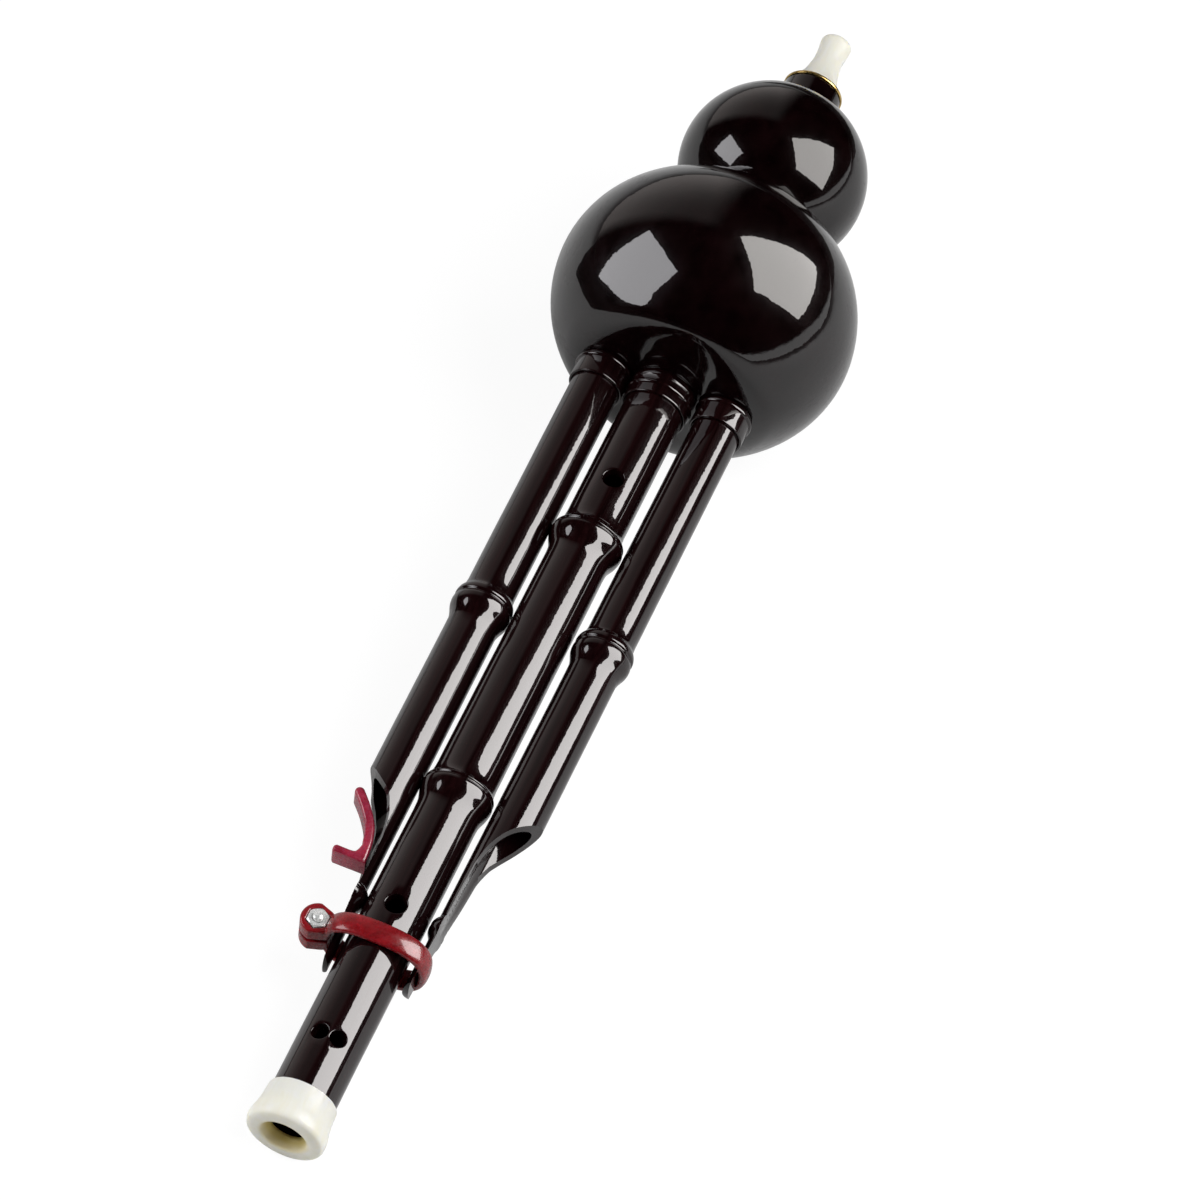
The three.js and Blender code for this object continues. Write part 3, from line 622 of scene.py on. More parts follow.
def round_corners(points, size, closed=True, steps=4):
    """The same outline with each corner turned into a short curve."""
    out = []
    count = len(points)
    for i, point in enumerate(points):
        if not closed and i in (0, count - 1):
            out.append(tuple(point))
            continue
        corner = Vector(point)
        before, after = Vector(points[i - 1]), Vector(points[(i + 1) % count])
        start = corner + (before - corner).normalized() * min(size, (before - corner).length / 2.1)
        end = corner + (after - corner).normalized() * min(size, (after - corner).length / 2.1)
        for k in range(steps + 1):
            t = k / steps
            out.append(tuple(start * (1 - t) ** 2 + corner * 2 * t * (1 - t) + end * t * t))
    return out


def oval_arc(radius, half, centre, start, end, steps):
    """Half outline of an egg shape between two places along the axis."""
    first, last = math.asin((start - centre) / half), math.asin((end - centre) / half)
    angles = [first + (last - first) * i / steps for i in range(steps + 1)]
    return [(radius * math.cos(a), centre + half * math.sin(a)) for a in angles]


def divide_long(points, longest):
    """Add points to long straight stretches, so that the skin can undulate there."""
    out = [points[0]]
    for a, b in zip(points, points[1:]):
        count = max(1, math.ceil((Vector(b) - Vector(a)).length / longest))
        out += [tuple(Vector(a).lerp(Vector(b), (k + 1) / count)) for k in range(count)]
    return out


# %% [markdown]
# ## Solids from outlines
#
# An outline becomes a solid by a full spin, or is drawn out straight. Holes and scoops are cut
# by booleans, as a maker cuts a turned blank. What a helper makes stays in the maker's
# millimetres until the last step lays it down and gives it its finish, body and CAD nodes.

# %% Solid helpers


SAME_PLACE = 0.0001


def turn_on_axis(outline, steps=128, closed=True):
    """Spin (radius, place) pairs once round the Y axis."""
    form = bmesh.new()
    verts = [form.verts.new((radius, along, 0)) for radius, along in outline]
    pairs = list(zip(verts, verts[1:]))
    if closed:
        pairs.append((verts[-1], verts[0]))
    edges = [form.edges.new(pair) for pair in pairs]
    bmesh.ops.spin(
        form, geom=verts + edges, cent=(0, 0, 0), axis=(0, 1, 0), dvec=(0, 0, 0),
        angle=2 * math.pi, steps=steps, use_merge=True, use_normal_flip=False, use_duplicate=False)
    bmesh.ops.remove_doubles(form, verts=form.verts, dist=SAME_PLACE)
    bmesh.ops.recalc_face_normals(form, faces=form.faces)
    return form


def draw_out(outline, start, end):
    """A flat (x, y) outline drawn out along Z from one height to another."""
    form = bmesh.new()
    face = form.faces.new([form.verts.new((x, y, start)) for x, y in outline])
    grown = bmesh.ops.extrude_face_region(form, geom=[face])["geom"]
    moved = [item for item in grown if isinstance(item, bmesh.types.BMVert)]
    bmesh.ops.translate(form, verts=moved, vec=(0, 0, end - start))
    bmesh.ops.recalc_face_normals(form, faces=form.faces)
    return form


def upright_rod(radius, start, end, segments=48, along=0, across=0):
    """A round rod along Z."""
    form = bmesh.new()
    place = Matrix.Translation((across, along, (start + end) / 2))
    bmesh.ops.create_cone(
        form, cap_ends=True, segments=segments, radius1=radius, radius2=radius,
        depth=end - start, matrix=place)
    return form


def block(sides, place):
    """A box with given sides, whose middle a matrix puts in place."""
    form = bmesh.new()
    bmesh.ops.create_cube(form, size=1, matrix=place @ Matrix.Diagonal((*sides, 1)))
    return form


def turned(form, matrix):
    """The same form, moved or turned by a matrix."""
    bmesh.ops.transform(form, matrix=matrix, verts=form.verts)
    return form


def soften_rims(form, rims, offset, segments, clamp_overlap):
    """Round some edges over, as a mould does."""
    bmesh.ops.bevel(
        form, geom=rims, offset=offset, offset_type="OFFSET", segments=segments, profile=0.5,
        affect="EDGES", material=-1, clamp_overlap=clamp_overlap)


def settled(base, tools=()):
    """The mesh of an object with its modifiers applied, as a bmesh; the objects go."""
    form = bmesh.new()
    view = bpy.context.evaluated_depsgraph_get()
    form.from_object(base, view)
    for spent in (base, *tools):
        mesh = spent.data
        bpy.data.objects.remove(spent)
        bpy.data.meshes.remove(mesh)
    return form


def combine(form, others, operation="DIFFERENCE"):
    """Cut other solids from a form, or join them to it."""
    base = loose_object(form, "blank")
    tools = [loose_object(other, "tool") for other in others]
    for tool in tools:
        change = base.modifiers.new("change", "BOOLEAN")
        change.operation = operation
        change.solver = "EXACT"
        change.object = tool
    return settled(base, tools)


def fade(value, start, end):
    """Zero up to start and one from end on, with a soft rise between them."""
    share = min(max((value - start) / (end - start), 0), 1)
    return share * share * (3 - 2 * share)


def undulate(form, depth, grain, seed, share):
    """Move the skin in and out a very little; share tells how much of it a place gets."""
    form.normal_update()
    moves = {}
    for vert in form.verts:
        wave = noise.noise(vert.co / grain + Vector((seed, seed * 2, -seed)))
        moves[vert] = vert.normal * wave * depth * share(vert.co)
    for vert, move in moves.items():
        vert.co += move
    return form


MIRROR_OF = {"lower_bulb_skin": "big_bulb", "upper_bulb_skin": "small_bulb"}  # others: pipes


def finish_piece(form, name, finish, slot, body, *nodes, crease=40):
    """Lay a form down in place as an object, with its finish, its body and its CAD nodes."""
    piece = loose_object(turned(form, LAY_DOWN), name)
    mesh = piece.data
    mesh.shade_smooth()
    mesh.set_sharp_from_angle(angle=math.radians(crease))
    mesh.materials.append(finish)
    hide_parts(*nodes)
    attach(piece, body)
    mirrors[MIRROR_OF.get(name, "pipes")].objects.link(piece)
    print(name, len(mesh.polygons), "faces")
    return piece


# %% [markdown]
# ## Lower bulb
#
# The air chamber is grown, not turned: a big bulb and a small one with a narrow waist. The
# big one is cut flat where the pipes go in. It is made here as a turned shell with a real wall.
# The skin then waves by a few tenths of a millimetre, which is enough to bend the softboxes in
# it as a real gourd does, and last the sockets for the pipes are cut in its flat end.

# %% Lower bulb
CLEARANCE = 0.3
BULB = {"radius": 46.02, "half": 41.0, "centre": 300.3}
GOURD_WALL = 3.2
BASE_FACE = 268
BASE_THICKNESS = 9
BASE_FLAT_RADIUS = 22
BASE_RISE = 4
WAIST = 337.65
WAIST_RING_THICKNESS = 1.5
MOUTH_RADIUS = 15.5
MOUTH_DEPTH = 5
MAIN_RADIUS = 9
DRONE_RADIUS = 7.1
MAIN_COLLAR_BODY = 9.9
DRONE_COLLAR_BODY = 8.1
SOCKET_PLAY = 0.1
SOCKET_FLARE = 0.5
SOCKET_FLARE_DEPTH = 0.6
OVERRUN = 1
CORNER_STEPS = 20
CALM_BASE = 280
CALM_WAIST = 14
BULB_SKIN = (0.95, 0.98)
DRONE_AT_BELL = {-1: 17.1, 1: 17.75}
TOE = math.atan(1.7 / 300)


def drone_place(side):
    """Where a drone's own axis lies: side is -1 for the left drone and 1 for the right."""
    at_bell = Matrix.Translation((side * DRONE_AT_BELL[side], 0, 0))
    return at_bell @ Matrix.Rotation(-side * TOE, 4, "Z")


waist_low = WAIST - WAIST_RING_THICKNESS / 2 - CLEARANCE
waist_high = WAIST + WAIST_RING_THICKNESS / 2 + CLEARANCE
base_inner = BASE_FACE + BASE_THICKNESS
spigot_start = waist_low - MOUTH_DEPTH
bulb_skin = oval_arc(
    BULB["radius"], BULB["half"], BULB["centre"], BASE_FACE + BASE_RISE, waist_low, steps=72)
slope = (bulb_skin[1][0] - bulb_skin[0][0]) / (bulb_skin[1][1] - bulb_skin[0][1])
turn_in = Vector((bulb_skin[0][0] - slope * BASE_RISE, BASE_FACE))
base_flat = Vector((BASE_FLAT_RADIUS, BASE_FACE))
base_curve = [
    tuple(base_flat * (1 - t) ** 2 + turn_in * 2 * t * (1 - t) + Vector(bulb_skin[0]) * t * t)
    for t in (k / CORNER_STEPS for k in range(CORNER_STEPS))]
bulb_inside = oval_arc(
    BULB["radius"] - GOURD_WALL, BULB["half"] - GOURD_WALL, BULB["centre"],
    spigot_start, base_inner, steps=24)
bulb_outline = [
    (0, BASE_FACE), *base_curve, *bulb_skin, (MOUTH_RADIUS, waist_low),
    (MOUTH_RADIUS, spigot_start), *bulb_inside, (0, base_inner)]
lower_bulb = turn_on_axis(bulb_outline, steps=144, closed=False)
bmesh.ops.dissolve_degenerate(lower_bulb, dist=SAME_PLACE, edges=lower_bulb.edges)


def on_bulb_skin(place):
    """One on the skin, fading to zero at the base, at the mouth and on the inner wall."""
    radius = math.hypot(place.x, place.z)
    on_egg = math.hypot(radius / BULB["radius"], (place.y - BULB["centre"]) / BULB["half"])
    ends = fade(place.y, BASE_FACE, CALM_BASE) * fade(-place.y, -waist_low, CALM_WAIST - waist_low)
    return ends * fade(on_egg, *BULB_SKIN)


undulate(lower_bulb, depth=0.30, grain=34, seed=3.1, share=on_bulb_skin)
undulate(lower_bulb, depth=0.05, grain=11, seed=7.7, share=on_bulb_skin)


def socket(radius, place=Matrix.Identity(4)):
    """Cutter for the hole that a collar sits in."""
    low, high = BASE_FACE - 2 * OVERRUN, base_inner + OVERRUN
    outline = [
        (0, low), (radius + SOCKET_FLARE, low), (radius, BASE_FACE + SOCKET_FLARE_DEPTH),
        (radius, high), (0, high)]
    return turned(turn_on_axis(outline, steps=96, closed=False), place)


sockets = [socket(MAIN_COLLAR_BODY + SOCKET_PLAY)]
sockets += [socket(DRONE_COLLAR_BODY + SOCKET_PLAY, drone_place(side)) for side in (-1, 1)]
lower_bulb = combine(lower_bulb, sockets)
finish_piece(
    lower_bulb, "lower_bulb_skin", gourd_lacquer, "lacquered_gourd", "gourd", "gourd_lower_bulb")

# %% [markdown]
# ## Upper bulb and neck
#
# The small bulb is egg-shaped and runs into a short neck through a hollow curve. A spigot at
# its foot fits in the big bulb's mouth. It is turned like the big one, and then leans a
# millimetre to one side, because no gourd grows quite straight.

# %% Upper bulb and neck
BUD = {"radius": 29.0, "low": 27.4, "high": 27.6, "centre": 358.6}
NECK_RADIUS = 9.3
NECK_TOP = 393
NECK_FILLET = 3
NECK_BORE = 6.8
NECK_EDGE = 0.5
HOLLOW_STEPS = 8
SPIGOT_WALL = 3
BUD_ROOF = 24
BUD_ROOF_EDGE = 24.2
BUD_FLOOR = 21
BUD_FLOOR_EDGE = 21.5
CALM_FOOT = 9
CALM_NECK = 7
BUD_SKIN = (0.93, 0.97)
LEAN_RISE = 14
LEAN_LEVEL = 8
LEAN_ASIDE = 0.5
LEAN_SLOPE = 0.009
LEAN_DOWN = 0.4
spigot_radius = MOUTH_RADIUS - CLEARANCE
spigot_bore = spigot_radius - SPIGOT_WALL
bud_radius, bud_middle = BUD["radius"], BUD["centre"]
neck_share = (NECK_RADIUS + NECK_FILLET) / bud_radius
neck_meet = bud_middle + BUD["high"] * math.sqrt(1 - neck_share ** 2)
bud_low = oval_arc(bud_radius, BUD["low"], bud_middle, waist_high, bud_middle, steps=36)
bud_high = oval_arc(bud_radius, BUD["high"], bud_middle, bud_middle, neck_meet, steps=34)
hollow = [
    (NECK_RADIUS + NECK_FILLET * (1 - math.sin(a)), neck_meet + NECK_FILLET * (1 - math.cos(a)))
    for a in (math.pi / 2 * k / HOLLOW_STEPS for k in range(1, HOLLOW_STEPS + 1))]
inner_radius = bud_radius - GOURD_WALL
bud_inside = oval_arc(
    inner_radius, BUD["high"] - GOURD_WALL, bud_middle, bud_middle + BUD_ROOF, bud_middle,
    steps=14)
bud_inside += oval_arc(
    inner_radius, BUD["low"] - GOURD_WALL, bud_middle, bud_middle, bud_middle - BUD_FLOOR,
    steps=12)[1:]
neck_edge = round_corners(
    [hollow[-1], (NECK_RADIUS, NECK_TOP), (NECK_BORE, NECK_TOP)], NECK_EDGE, closed=False)
upper_outline = [
    (spigot_bore, spigot_start), (spigot_radius, spigot_start), (spigot_radius, waist_high),
    *bud_low, *bud_high[1:], *hollow, *neck_edge[1:],
    (NECK_BORE, bud_middle + BUD_ROOF_EDGE), *bud_inside[1:],
    (spigot_bore, bud_middle - BUD_FLOOR_EDGE)]
upper_bulb = turn_on_axis(upper_outline, steps=128)


def on_bud_skin(place):
    """One on the small bulb's skin, fading to zero at the waist, the neck and the inner wall."""
    half = BUD["low"] if place.y < bud_middle else BUD["high"]
    on_egg = math.hypot(math.hypot(place.x, place.z) / bud_radius, (place.y - bud_middle) / half)
    above_waist = fade(place.y, waist_high, waist_high + CALM_FOOT)
    below_neck = fade(-place.y, -neck_meet, CALM_NECK - neck_meet)
    return above_waist * below_neck * fade(on_egg, *BUD_SKIN)


def grown_aside(form):
    """Lean what is above the waist towards the thumb rest, more so further up."""
    for vert in form.verts:
        share = fade(vert.co.y, WAIST, WAIST + LEAN_RISE)
        aside = LEAN_ASIDE + LEAN_SLOPE * (vert.co.y - WAIST - LEAN_LEVEL)
        vert.co -= share * Vector((aside, LEAN_DOWN, 0))
    return form


undulate(upper_bulb, depth=0.18, grain=26, seed=5.3, share=on_bud_skin)
undulate(upper_bulb, depth=0.035, grain=9, seed=1.9, share=on_bud_skin)
finish_piece(
    grown_aside(upper_bulb), "upper_bulb_skin", gourd_lacquer, "lacquered_gourd", "gourd",
    "gourd_upper_bulb")

# %% [markdown]
# ## Waist ring and neck ring
#
# A lacquered bead covers the joint between the bulbs, and a thin brass ring lies on the neck's
# edge under the mouthpiece. Both are plain rings with rounded corners, turned from the same
# four-cornered outline.

# %% Waist ring and neck ring
WAIST_RING_RADIUS = 20.3
WAIST_RING_EDGE = 0.7
NECK_RING_THICKNESS = 1
NECK_RING_OVERHANG = 0.2
NECK_RING_EDGE = 0.35


def turned_ring(inner, outer, low, high, edge):
    """A ring with four rounded corners."""
    corners = [(inner, low), (outer, low), (outer, high), (inner, high)]
    return turn_on_axis(round_corners(corners, edge))


waist_bead = turned_ring(
    MOUTH_RADIUS, WAIST_RING_RADIUS, WAIST - WAIST_RING_THICKNESS / 2,
    WAIST + WAIST_RING_THICKNESS / 2, WAIST_RING_EDGE)
finish_piece(waist_bead, "waist_bead", gourd_lacquer, "lacquered_gourd", "gourd", "waist_ring")

low = NECK_TOP + CLEARANCE
neck_band = turned_ring(
    NECK_BORE + CLEARANCE, NECK_RADIUS + NECK_RING_OVERHANG, low, low + NECK_RING_THICKNESS,
    NECK_RING_EDGE)
finish_piece(grown_aside(neck_band), "neck_band", rolled_brass, "brass", "gourd", "neck_ring")

# %% [markdown]
# ## Mouthpiece
#
# A turned stem of ivory plastic with a flared foot that covers the neck's edge and a slim
# waist for the lips. It is hollow all through, and its spigot goes 11 mm into the neck.

# %% Mouthpiece
MOUTHPIECE_LENGTH = 20.8
MOUTHPIECE_FOOT = 7.4
MOUTHPIECE_THROAT = 4.45
MOUTHPIECE_LIP = 4.9
MOUTHPIECE_BORE = 2.2
MOUTHPIECE_SPIGOT = 11
MOUTHPIECE_EDGE = 0.7
FOOT_CHAMFER = (0.15, 0.2)
STEM_SHARES = [
    (0.08, 1), (0.2, 0.6), (0.34, 0.3), (0.52, 0.06), (0.64, 0), (0.8, 0.04), (0.93, 0.14)]
foot = NECK_TOP + NECK_RING_THICKNESS + 2 * CLEARANCE
stem = [
    (MOUTHPIECE_THROAT + (MOUTHPIECE_FOOT - MOUTHPIECE_THROAT) * out, foot + MOUTHPIECE_LENGTH * up)
    for up, out in smooth_through(STEM_SHARES, 6)]
spigot = NECK_BORE - CLEARANCE
end = foot + MOUTHPIECE_LENGTH
ends = round_corners(
    [(spigot, foot), (spigot, foot - MOUTHPIECE_SPIGOT), (MOUTHPIECE_BORE, foot - MOUTHPIECE_SPIGOT),
     (MOUTHPIECE_BORE, end), (MOUTHPIECE_LIP, end), stem[-1]], MOUTHPIECE_EDGE, closed=False)
mouthpiece_outline = [
    (MOUTHPIECE_FOOT - FOOT_CHAMFER[0], foot), (MOUTHPIECE_FOOT, foot + FOOT_CHAMFER[1]),
    *stem, *ends[::-1][1:]]
finish_piece(
    grown_aside(turn_on_axis(mouthpiece_outline, steps=96)), "mouthpiece_stem", ivory_plastic,
    "ivory_plastic", "mouthpiece", "mouthpiece")

# %% [markdown]
# ## Pipes
#
# Each pipe is a length of cane under lacquer, with the raised joints that cane grows. A node
# is a short table of shares: a slow swell, a crest, a fine groove and a second, lower crest.
# Holes are cut with a flared cutter whose rings follow the round of the pipe, so that the rim
# of every hole comes out softly rounded, as it is when lacquer pools there.

# %% Cane outlines
MAIN_NODE_SHARES = [
    (-1, 0), (-0.8, 0.03), (-0.62, 0.14), (-0.47, 0.40), (-0.3, 0.76), (-0.16, 0.95), (-0.04, 1),
    (0.05, 0.66), (0.12, 0.85), (0.22, 0.44), (0.4, 0.12), (0.65, 0)]
DRONE_NODE_SHARES = [
    (-1, 0), (-0.71, 0.32), (-0.36, 0.9), (-0.07, 1), (0.1, 0.71), (0.21, 0.97),
    (0.43, 0.77), (0.64, 0.19), (1, 0)]


def cane_node(shares, place, radius, rise, reach):
    """Outline of one node: how far it rises and how far it reaches scale the shares."""
    curve = smooth_through(shares, 4)
    return [(radius + rise * out, place + reach * along) for along, out in curve]


RIM_TURN = math.radians(72)
RIM_STEPS = 4
RIM_FOOT = 0.3
CUTTER_PROUD = 3
NEAR_SIDE = 0.98


def rounded_hole(radius, shell, along, turn=0.0, rounding=0.45):
    """Cutter for a hole in a pipe of radius shell, flared where it meets the skin."""
    rows = [(radius, shell), (radius, rounding + RIM_FOOT)]
    for k in range(RIM_STEPS + 1):
        angle = RIM_TURN * k / RIM_STEPS
        rows.append((radius + rounding * (1 - math.cos(angle)), rounding * (1 - math.sin(angle))))
    rows.append((rows[-1][0] + math.sin(RIM_TURN), rows[-1][1] - math.cos(RIM_TURN)))
    rows.append((rows[-1][0], -CUTTER_PROUD))
    form = bmesh.new()
    bmesh.ops.create_circle(form, cap_ends=True, segments=56, radius=radius)
    edges = list(form.edges)
    for reach, depth in rows[1:]:
        grown = bmesh.ops.extrude_edge_only(form, edges=edges)["geom"]
        edges = [item for item in grown if isinstance(item, bmesh.types.BMEdge)]
        for vert in {vert for edge in edges for vert in edge.verts}:
            around = math.atan2(vert.co.y, vert.co.x)
            across, up_pipe = reach * math.cos(around), reach * math.sin(around)
            skin = math.sqrt(shell ** 2 - min(across, shell * NEAR_SIDE) ** 2)
            vert.co = (across, up_pipe, skin - depth)
    bmesh.ops.contextual_create(form, geom=edges)
    bmesh.ops.recalc_face_normals(form, faces=form.faces)
    place = Matrix.Translation((0, along, 0)) @ Matrix.Rotation(turn, 4, "Y")
    return turned(form, place)


# %% [markdown]
# ## Melody pipe
#
# The middle pipe has two full nodes, six finger holes on its belly, a thumb hole and a vent
# on its back, and two small holes for a cord. Its inner end is cut flat for the reed, with a
# window under it. The skin waves by a twentieth of a millimetre, as hand-laid lacquer does.

# %% Melody pipe
MAIN_BORE = 6
MAIN_START = 3.3
MAIN_END = 308
PIPE_EDGE = 0.5
MAIN_COAT = 0.1
MAIN_NODES = ((115, 1.45), (208.5, 2.05))
MAIN_NODE_REACH = 10
SKIN_STEP = 4
FINGER_HOLES = (197.5, 179, 160.5, 142, 123.5, 101.5)
FINGER_HOLE_RADIUS = 3.4
THUMB_HOLE, THUMB_HOLE_RADIUS = 226.8, 3.1
VENT_HOLE, VENT_HOLE_RADIUS = 71.5, 3.0
CORD_HOLE, CORD_HOLE_RADIUS, CORD_RIM = 27.5, 2.4, 0.3
CORD_TURN = math.radians(17.5)
MAIN_SKIN = (8, 8.5)
MAIN_CALM_END = (-255, -240)
REED_SETBACK = 4.5
WINDOW_SHORTER = 4.8
main_shell = MAIN_RADIUS + MAIN_COAT
main_skin = [(main_shell, MAIN_START + PIPE_EDGE)]
for place, rise in MAIN_NODES:
    main_skin += cane_node(MAIN_NODE_SHARES, place, main_shell, rise, MAIN_NODE_REACH)
main_skin.append((main_shell, MAIN_END - PIPE_EDGE))
main_outline = [
    (MAIN_RADIUS - PIPE_EDGE, MAIN_START), *divide_long(main_skin, SKIN_STEP),
    (MAIN_RADIUS - PIPE_EDGE, MAIN_END), (MAIN_BORE, MAIN_END), (MAIN_BORE, MAIN_START)]
main_pipe = turn_on_axis(main_outline)


def on_main_skin(place):
    """One on the melody pipe's skin, fading to zero in the gourd and in the bore."""
    return fade(math.hypot(place.x, place.z), *MAIN_SKIN) * fade(-place.y, *MAIN_CALM_END)


undulate(main_pipe, depth=0.05, grain=13, seed=2.3, share=on_main_skin)
holes = [rounded_hole(FINGER_HOLE_RADIUS, main_shell, along, math.pi) for along in FINGER_HOLES]
holes.append(rounded_hole(THUMB_HOLE_RADIUS, main_shell, THUMB_HOLE))
holes.append(rounded_hole(VENT_HOLE_RADIUS, main_shell, VENT_HOLE))
for turn in (CORD_TURN, -CORD_TURN):
    holes.append(rounded_hole(CORD_HOLE_RADIUS, main_shell, CORD_HOLE, turn, CORD_RIM))


def reed_cutters(seat, length, window, shell, pipe_end):
    """Flat seat and window under a reed."""
    middle = pipe_end - REED_SETBACK - length / 2
    flat = block((2 * shell, length + 2 * CLEARANCE, shell),
                 Matrix.Translation((0, middle, seat + shell / 2)))
    opening = block((window, length - WINDOW_SHORTER, shell + OVERRUN),
                    Matrix.Translation((0, middle, shell / 2 + OVERRUN)))
    return [flat, opening]


main_reed_cut = reed_cutters(
    seat=7.4, length=15.5, window=2.6, shell=MAIN_RADIUS, pipe_end=MAIN_END)
main_pipe = combine(main_pipe, holes + main_reed_cut)
finish_piece(main_pipe, "melody_cane", cane_lacquer, "lacquered_cane", "melody_pipe", "main_pipe")

# %% [markdown]
# ## Drones
#
# A drone is thinner and has no finger holes. Its lower end is cut away in a long scoop that
# leaves a tongue of cane under the clamp band, and the cut runs through the lower node. The
# scoop follows one smooth curve from the outer side of the pipe to past its axis, leans a
# little towards the back where it is deepest, and the tongue's end is round. The two scoops
# were cut by hand and differ, so each side has a table of its own.

# %% Drones
DRONE_COAT = 0.2
DRONE_BORE = 5
DRONE_START = 49.5
DRONE_END = 304
SCOOP_SHARES = {
    -1: [
        (0, 1.02), (-0.14, 0.9), (-0.45, 0.68), (-0.83, 0.42), (-1.27, 0.04), (-1.72, -0.19),
        (-2.05, -0.33), (-2.84, -0.49), (-3.46, -0.53), (-4.2, -0.59), (-5.5, -0.675),
        (-7.2, -0.77), (-9.4, -0.82)],
    1: [
        (0, 1.02), (-0.14, 0.89), (-0.5, 0.59), (-0.9, 0.26), (-1.32, -0.04), (-1.77, -0.29),
        (-2.1, -0.42), (-2.75, -0.56), (-3.4, -0.6), (-4.2, -0.635), (-5.5, -0.69),
        (-7.2, -0.75), (-9.4, -0.8)]}
DRONE_NODES = ((73.2, 1.3, 4), (174.4, 1.55, 7))
DRONE_SKIN_END = 6.6
DRONE_CALM_END = (-262, -245)
SCOOP_LEAN = {-1: math.radians(16), 1: math.radians(6)}
SCOOP_TOP = {-1: 112.5, 1: 114.5}
TONGUE_SHORTER = {-1: 0.5, 1: 2.7}
LEAN_FROM_TIP = (66, 90)
LEAN_FROM_TOP = 9
TONGUE_ROUND = 4.5
TONGUE_TURN = 7.5
TONGUE_POINTS = 25
TRIM_REACH = 4
AWAY = DRONE_RADIUS + 3
drone_shell = DRONE_RADIUS + DRONE_COAT
drone_wall_middle = (DRONE_RADIUS + DRONE_BORE) / 2


def on_drone_skin(place):
    """One on a drone's skin, fading to zero in the gourd and in the bore."""
    on_skin = fade(math.hypot(place.x, place.z), drone_wall_middle, DRONE_SKIN_END)
    return on_skin * fade(-place.y, *DRONE_CALM_END)


def scoop_curve(side, steps):
    """The scoop's side view: how far out from the drone's axis, and where along it."""
    return [(out * DRONE_RADIUS, SCOOP_TOP[side] + along * DRONE_RADIUS)
            for along, out in smooth_through(SCOOP_SHARES[side], steps)]


def scoop_cutter(side):
    """Cutter for a scoop, twisted so that its deep part leans towards the back."""
    top = SCOOP_TOP[side]
    curve = [(side * out, along) for out, along in scoop_curve(side, 6)]
    scoop = draw_out([*curve, (side * AWAY, curve[-1][1]), (side * AWAY, top)], -AWAY, AWAY)
    for vert in scoop.verts:
        share = fade(-vert.co.y, -top, LEAN_FROM_TOP - top)
        lean = SCOOP_LEAN[side] * fade(vert.co.y, *LEAN_FROM_TIP) * share
        vert.co = Matrix.Rotation(-side * lean, 3, "Y") @ vert.co
    return scoop


def tongue_cutter(side):
    """Cutter that shortens a tongue and rounds its end."""
    tip = DRONE_START + TONGUE_SHORTER[side]
    round_end = [
        (drone_shell * math.sin(a), tip + TONGUE_ROUND * (1 - math.cos(a)))
        for a in (math.radians(90 - TONGUE_TURN * k) for k in range(TONGUE_POINTS))]
    trim = draw_out(
        [(-AWAY, tip - TRIM_REACH), (AWAY, tip - TRIM_REACH), (AWAY, tip + TONGUE_ROUND), *round_end,
         (-AWAY, tip + TONGUE_ROUND)], -AWAY, AWAY)
    return turned(trim, Matrix.Rotation(math.pi / 2, 4, "Y"))


def make_drone(side, name, body, node):
    """One drone pipe, cut, waved and finished."""
    skin = [(drone_shell, DRONE_START)]
    for place, rise, reach in DRONE_NODES:
        skin += cane_node(DRONE_NODE_SHARES, place, drone_shell, rise, reach)
    skin.append((drone_shell, DRONE_END - PIPE_EDGE))
    outline = [
        *divide_long(skin, SKIN_STEP), (DRONE_RADIUS - PIPE_EDGE, DRONE_END),
        (DRONE_BORE, DRONE_END), (DRONE_BORE, DRONE_START)]
    form = turn_on_axis(outline, steps=112)
    undulate(form, depth=0.045, grain=12, seed=4.4 * side, share=on_drone_skin)
    reed_cut = reed_cutters(seat=5.6, length=13, window=2, shell=DRONE_RADIUS, pipe_end=DRONE_END)
    form = combine(form, [scoop_cutter(side), tongue_cutter(side), *reed_cut])
    turned(form, drone_place(side))
    return finish_piece(form, name, cane_lacquer, "lacquered_cane", body, node)


make_drone(-1, "left_drone_cane", "left_drone", "left_drone_pipe")
make_drone(1, "right_drone_cane", "right_drone", "right_drone_pipe")

# %% [markdown]
# ## Collars
#
# Where the pipes enter the gourd, each wears a short turned collar with fine raised rings. The
# melody pipe's stands out furthest and has two rings. The drones' have a plain sleeve with one
# ring where they meet the gourd.

# %% Collars
RIDGE_SHARES = [(-0.5, 0), (-0.28, 0.75), (0, 1), (0.28, 0.75), (0.5, 0)]
COLLAR_RISE = 0.55
LOW_RISE = 0.25
RIDGE_WIDTH = 1.8
COLLAR_TAIL = 3
MAIN_COLLAR_FRONT = 259.5
MAIN_COLLAR_EDGE = 0.5
MAIN_RIDGE = 263.4
DRONE_COLLAR_FRONT = 260
DRONE_COLLAR_EDGE = 0.35
DRONE_SLEEVE = 8.25
collar_end = base_inner + COLLAR_TAIL
ring_place = BASE_FACE - CLEARANCE - RIDGE_WIDTH / 2


def ridge(place, radius, rise=COLLAR_RISE):
    """Outline of a fine raised ring."""
    return cane_node(RIDGE_SHARES, place, radius, rise, RIDGE_WIDTH)


def collar_front(bore, body, front, inside, outside, edge):
    """The rounded front of a collar; it ends some way along the inside and the outside."""
    corners = [(bore, front + inside), (bore, front), (body, front), (body, front + outside)]
    return round_corners(corners, edge, closed=False)[1:]


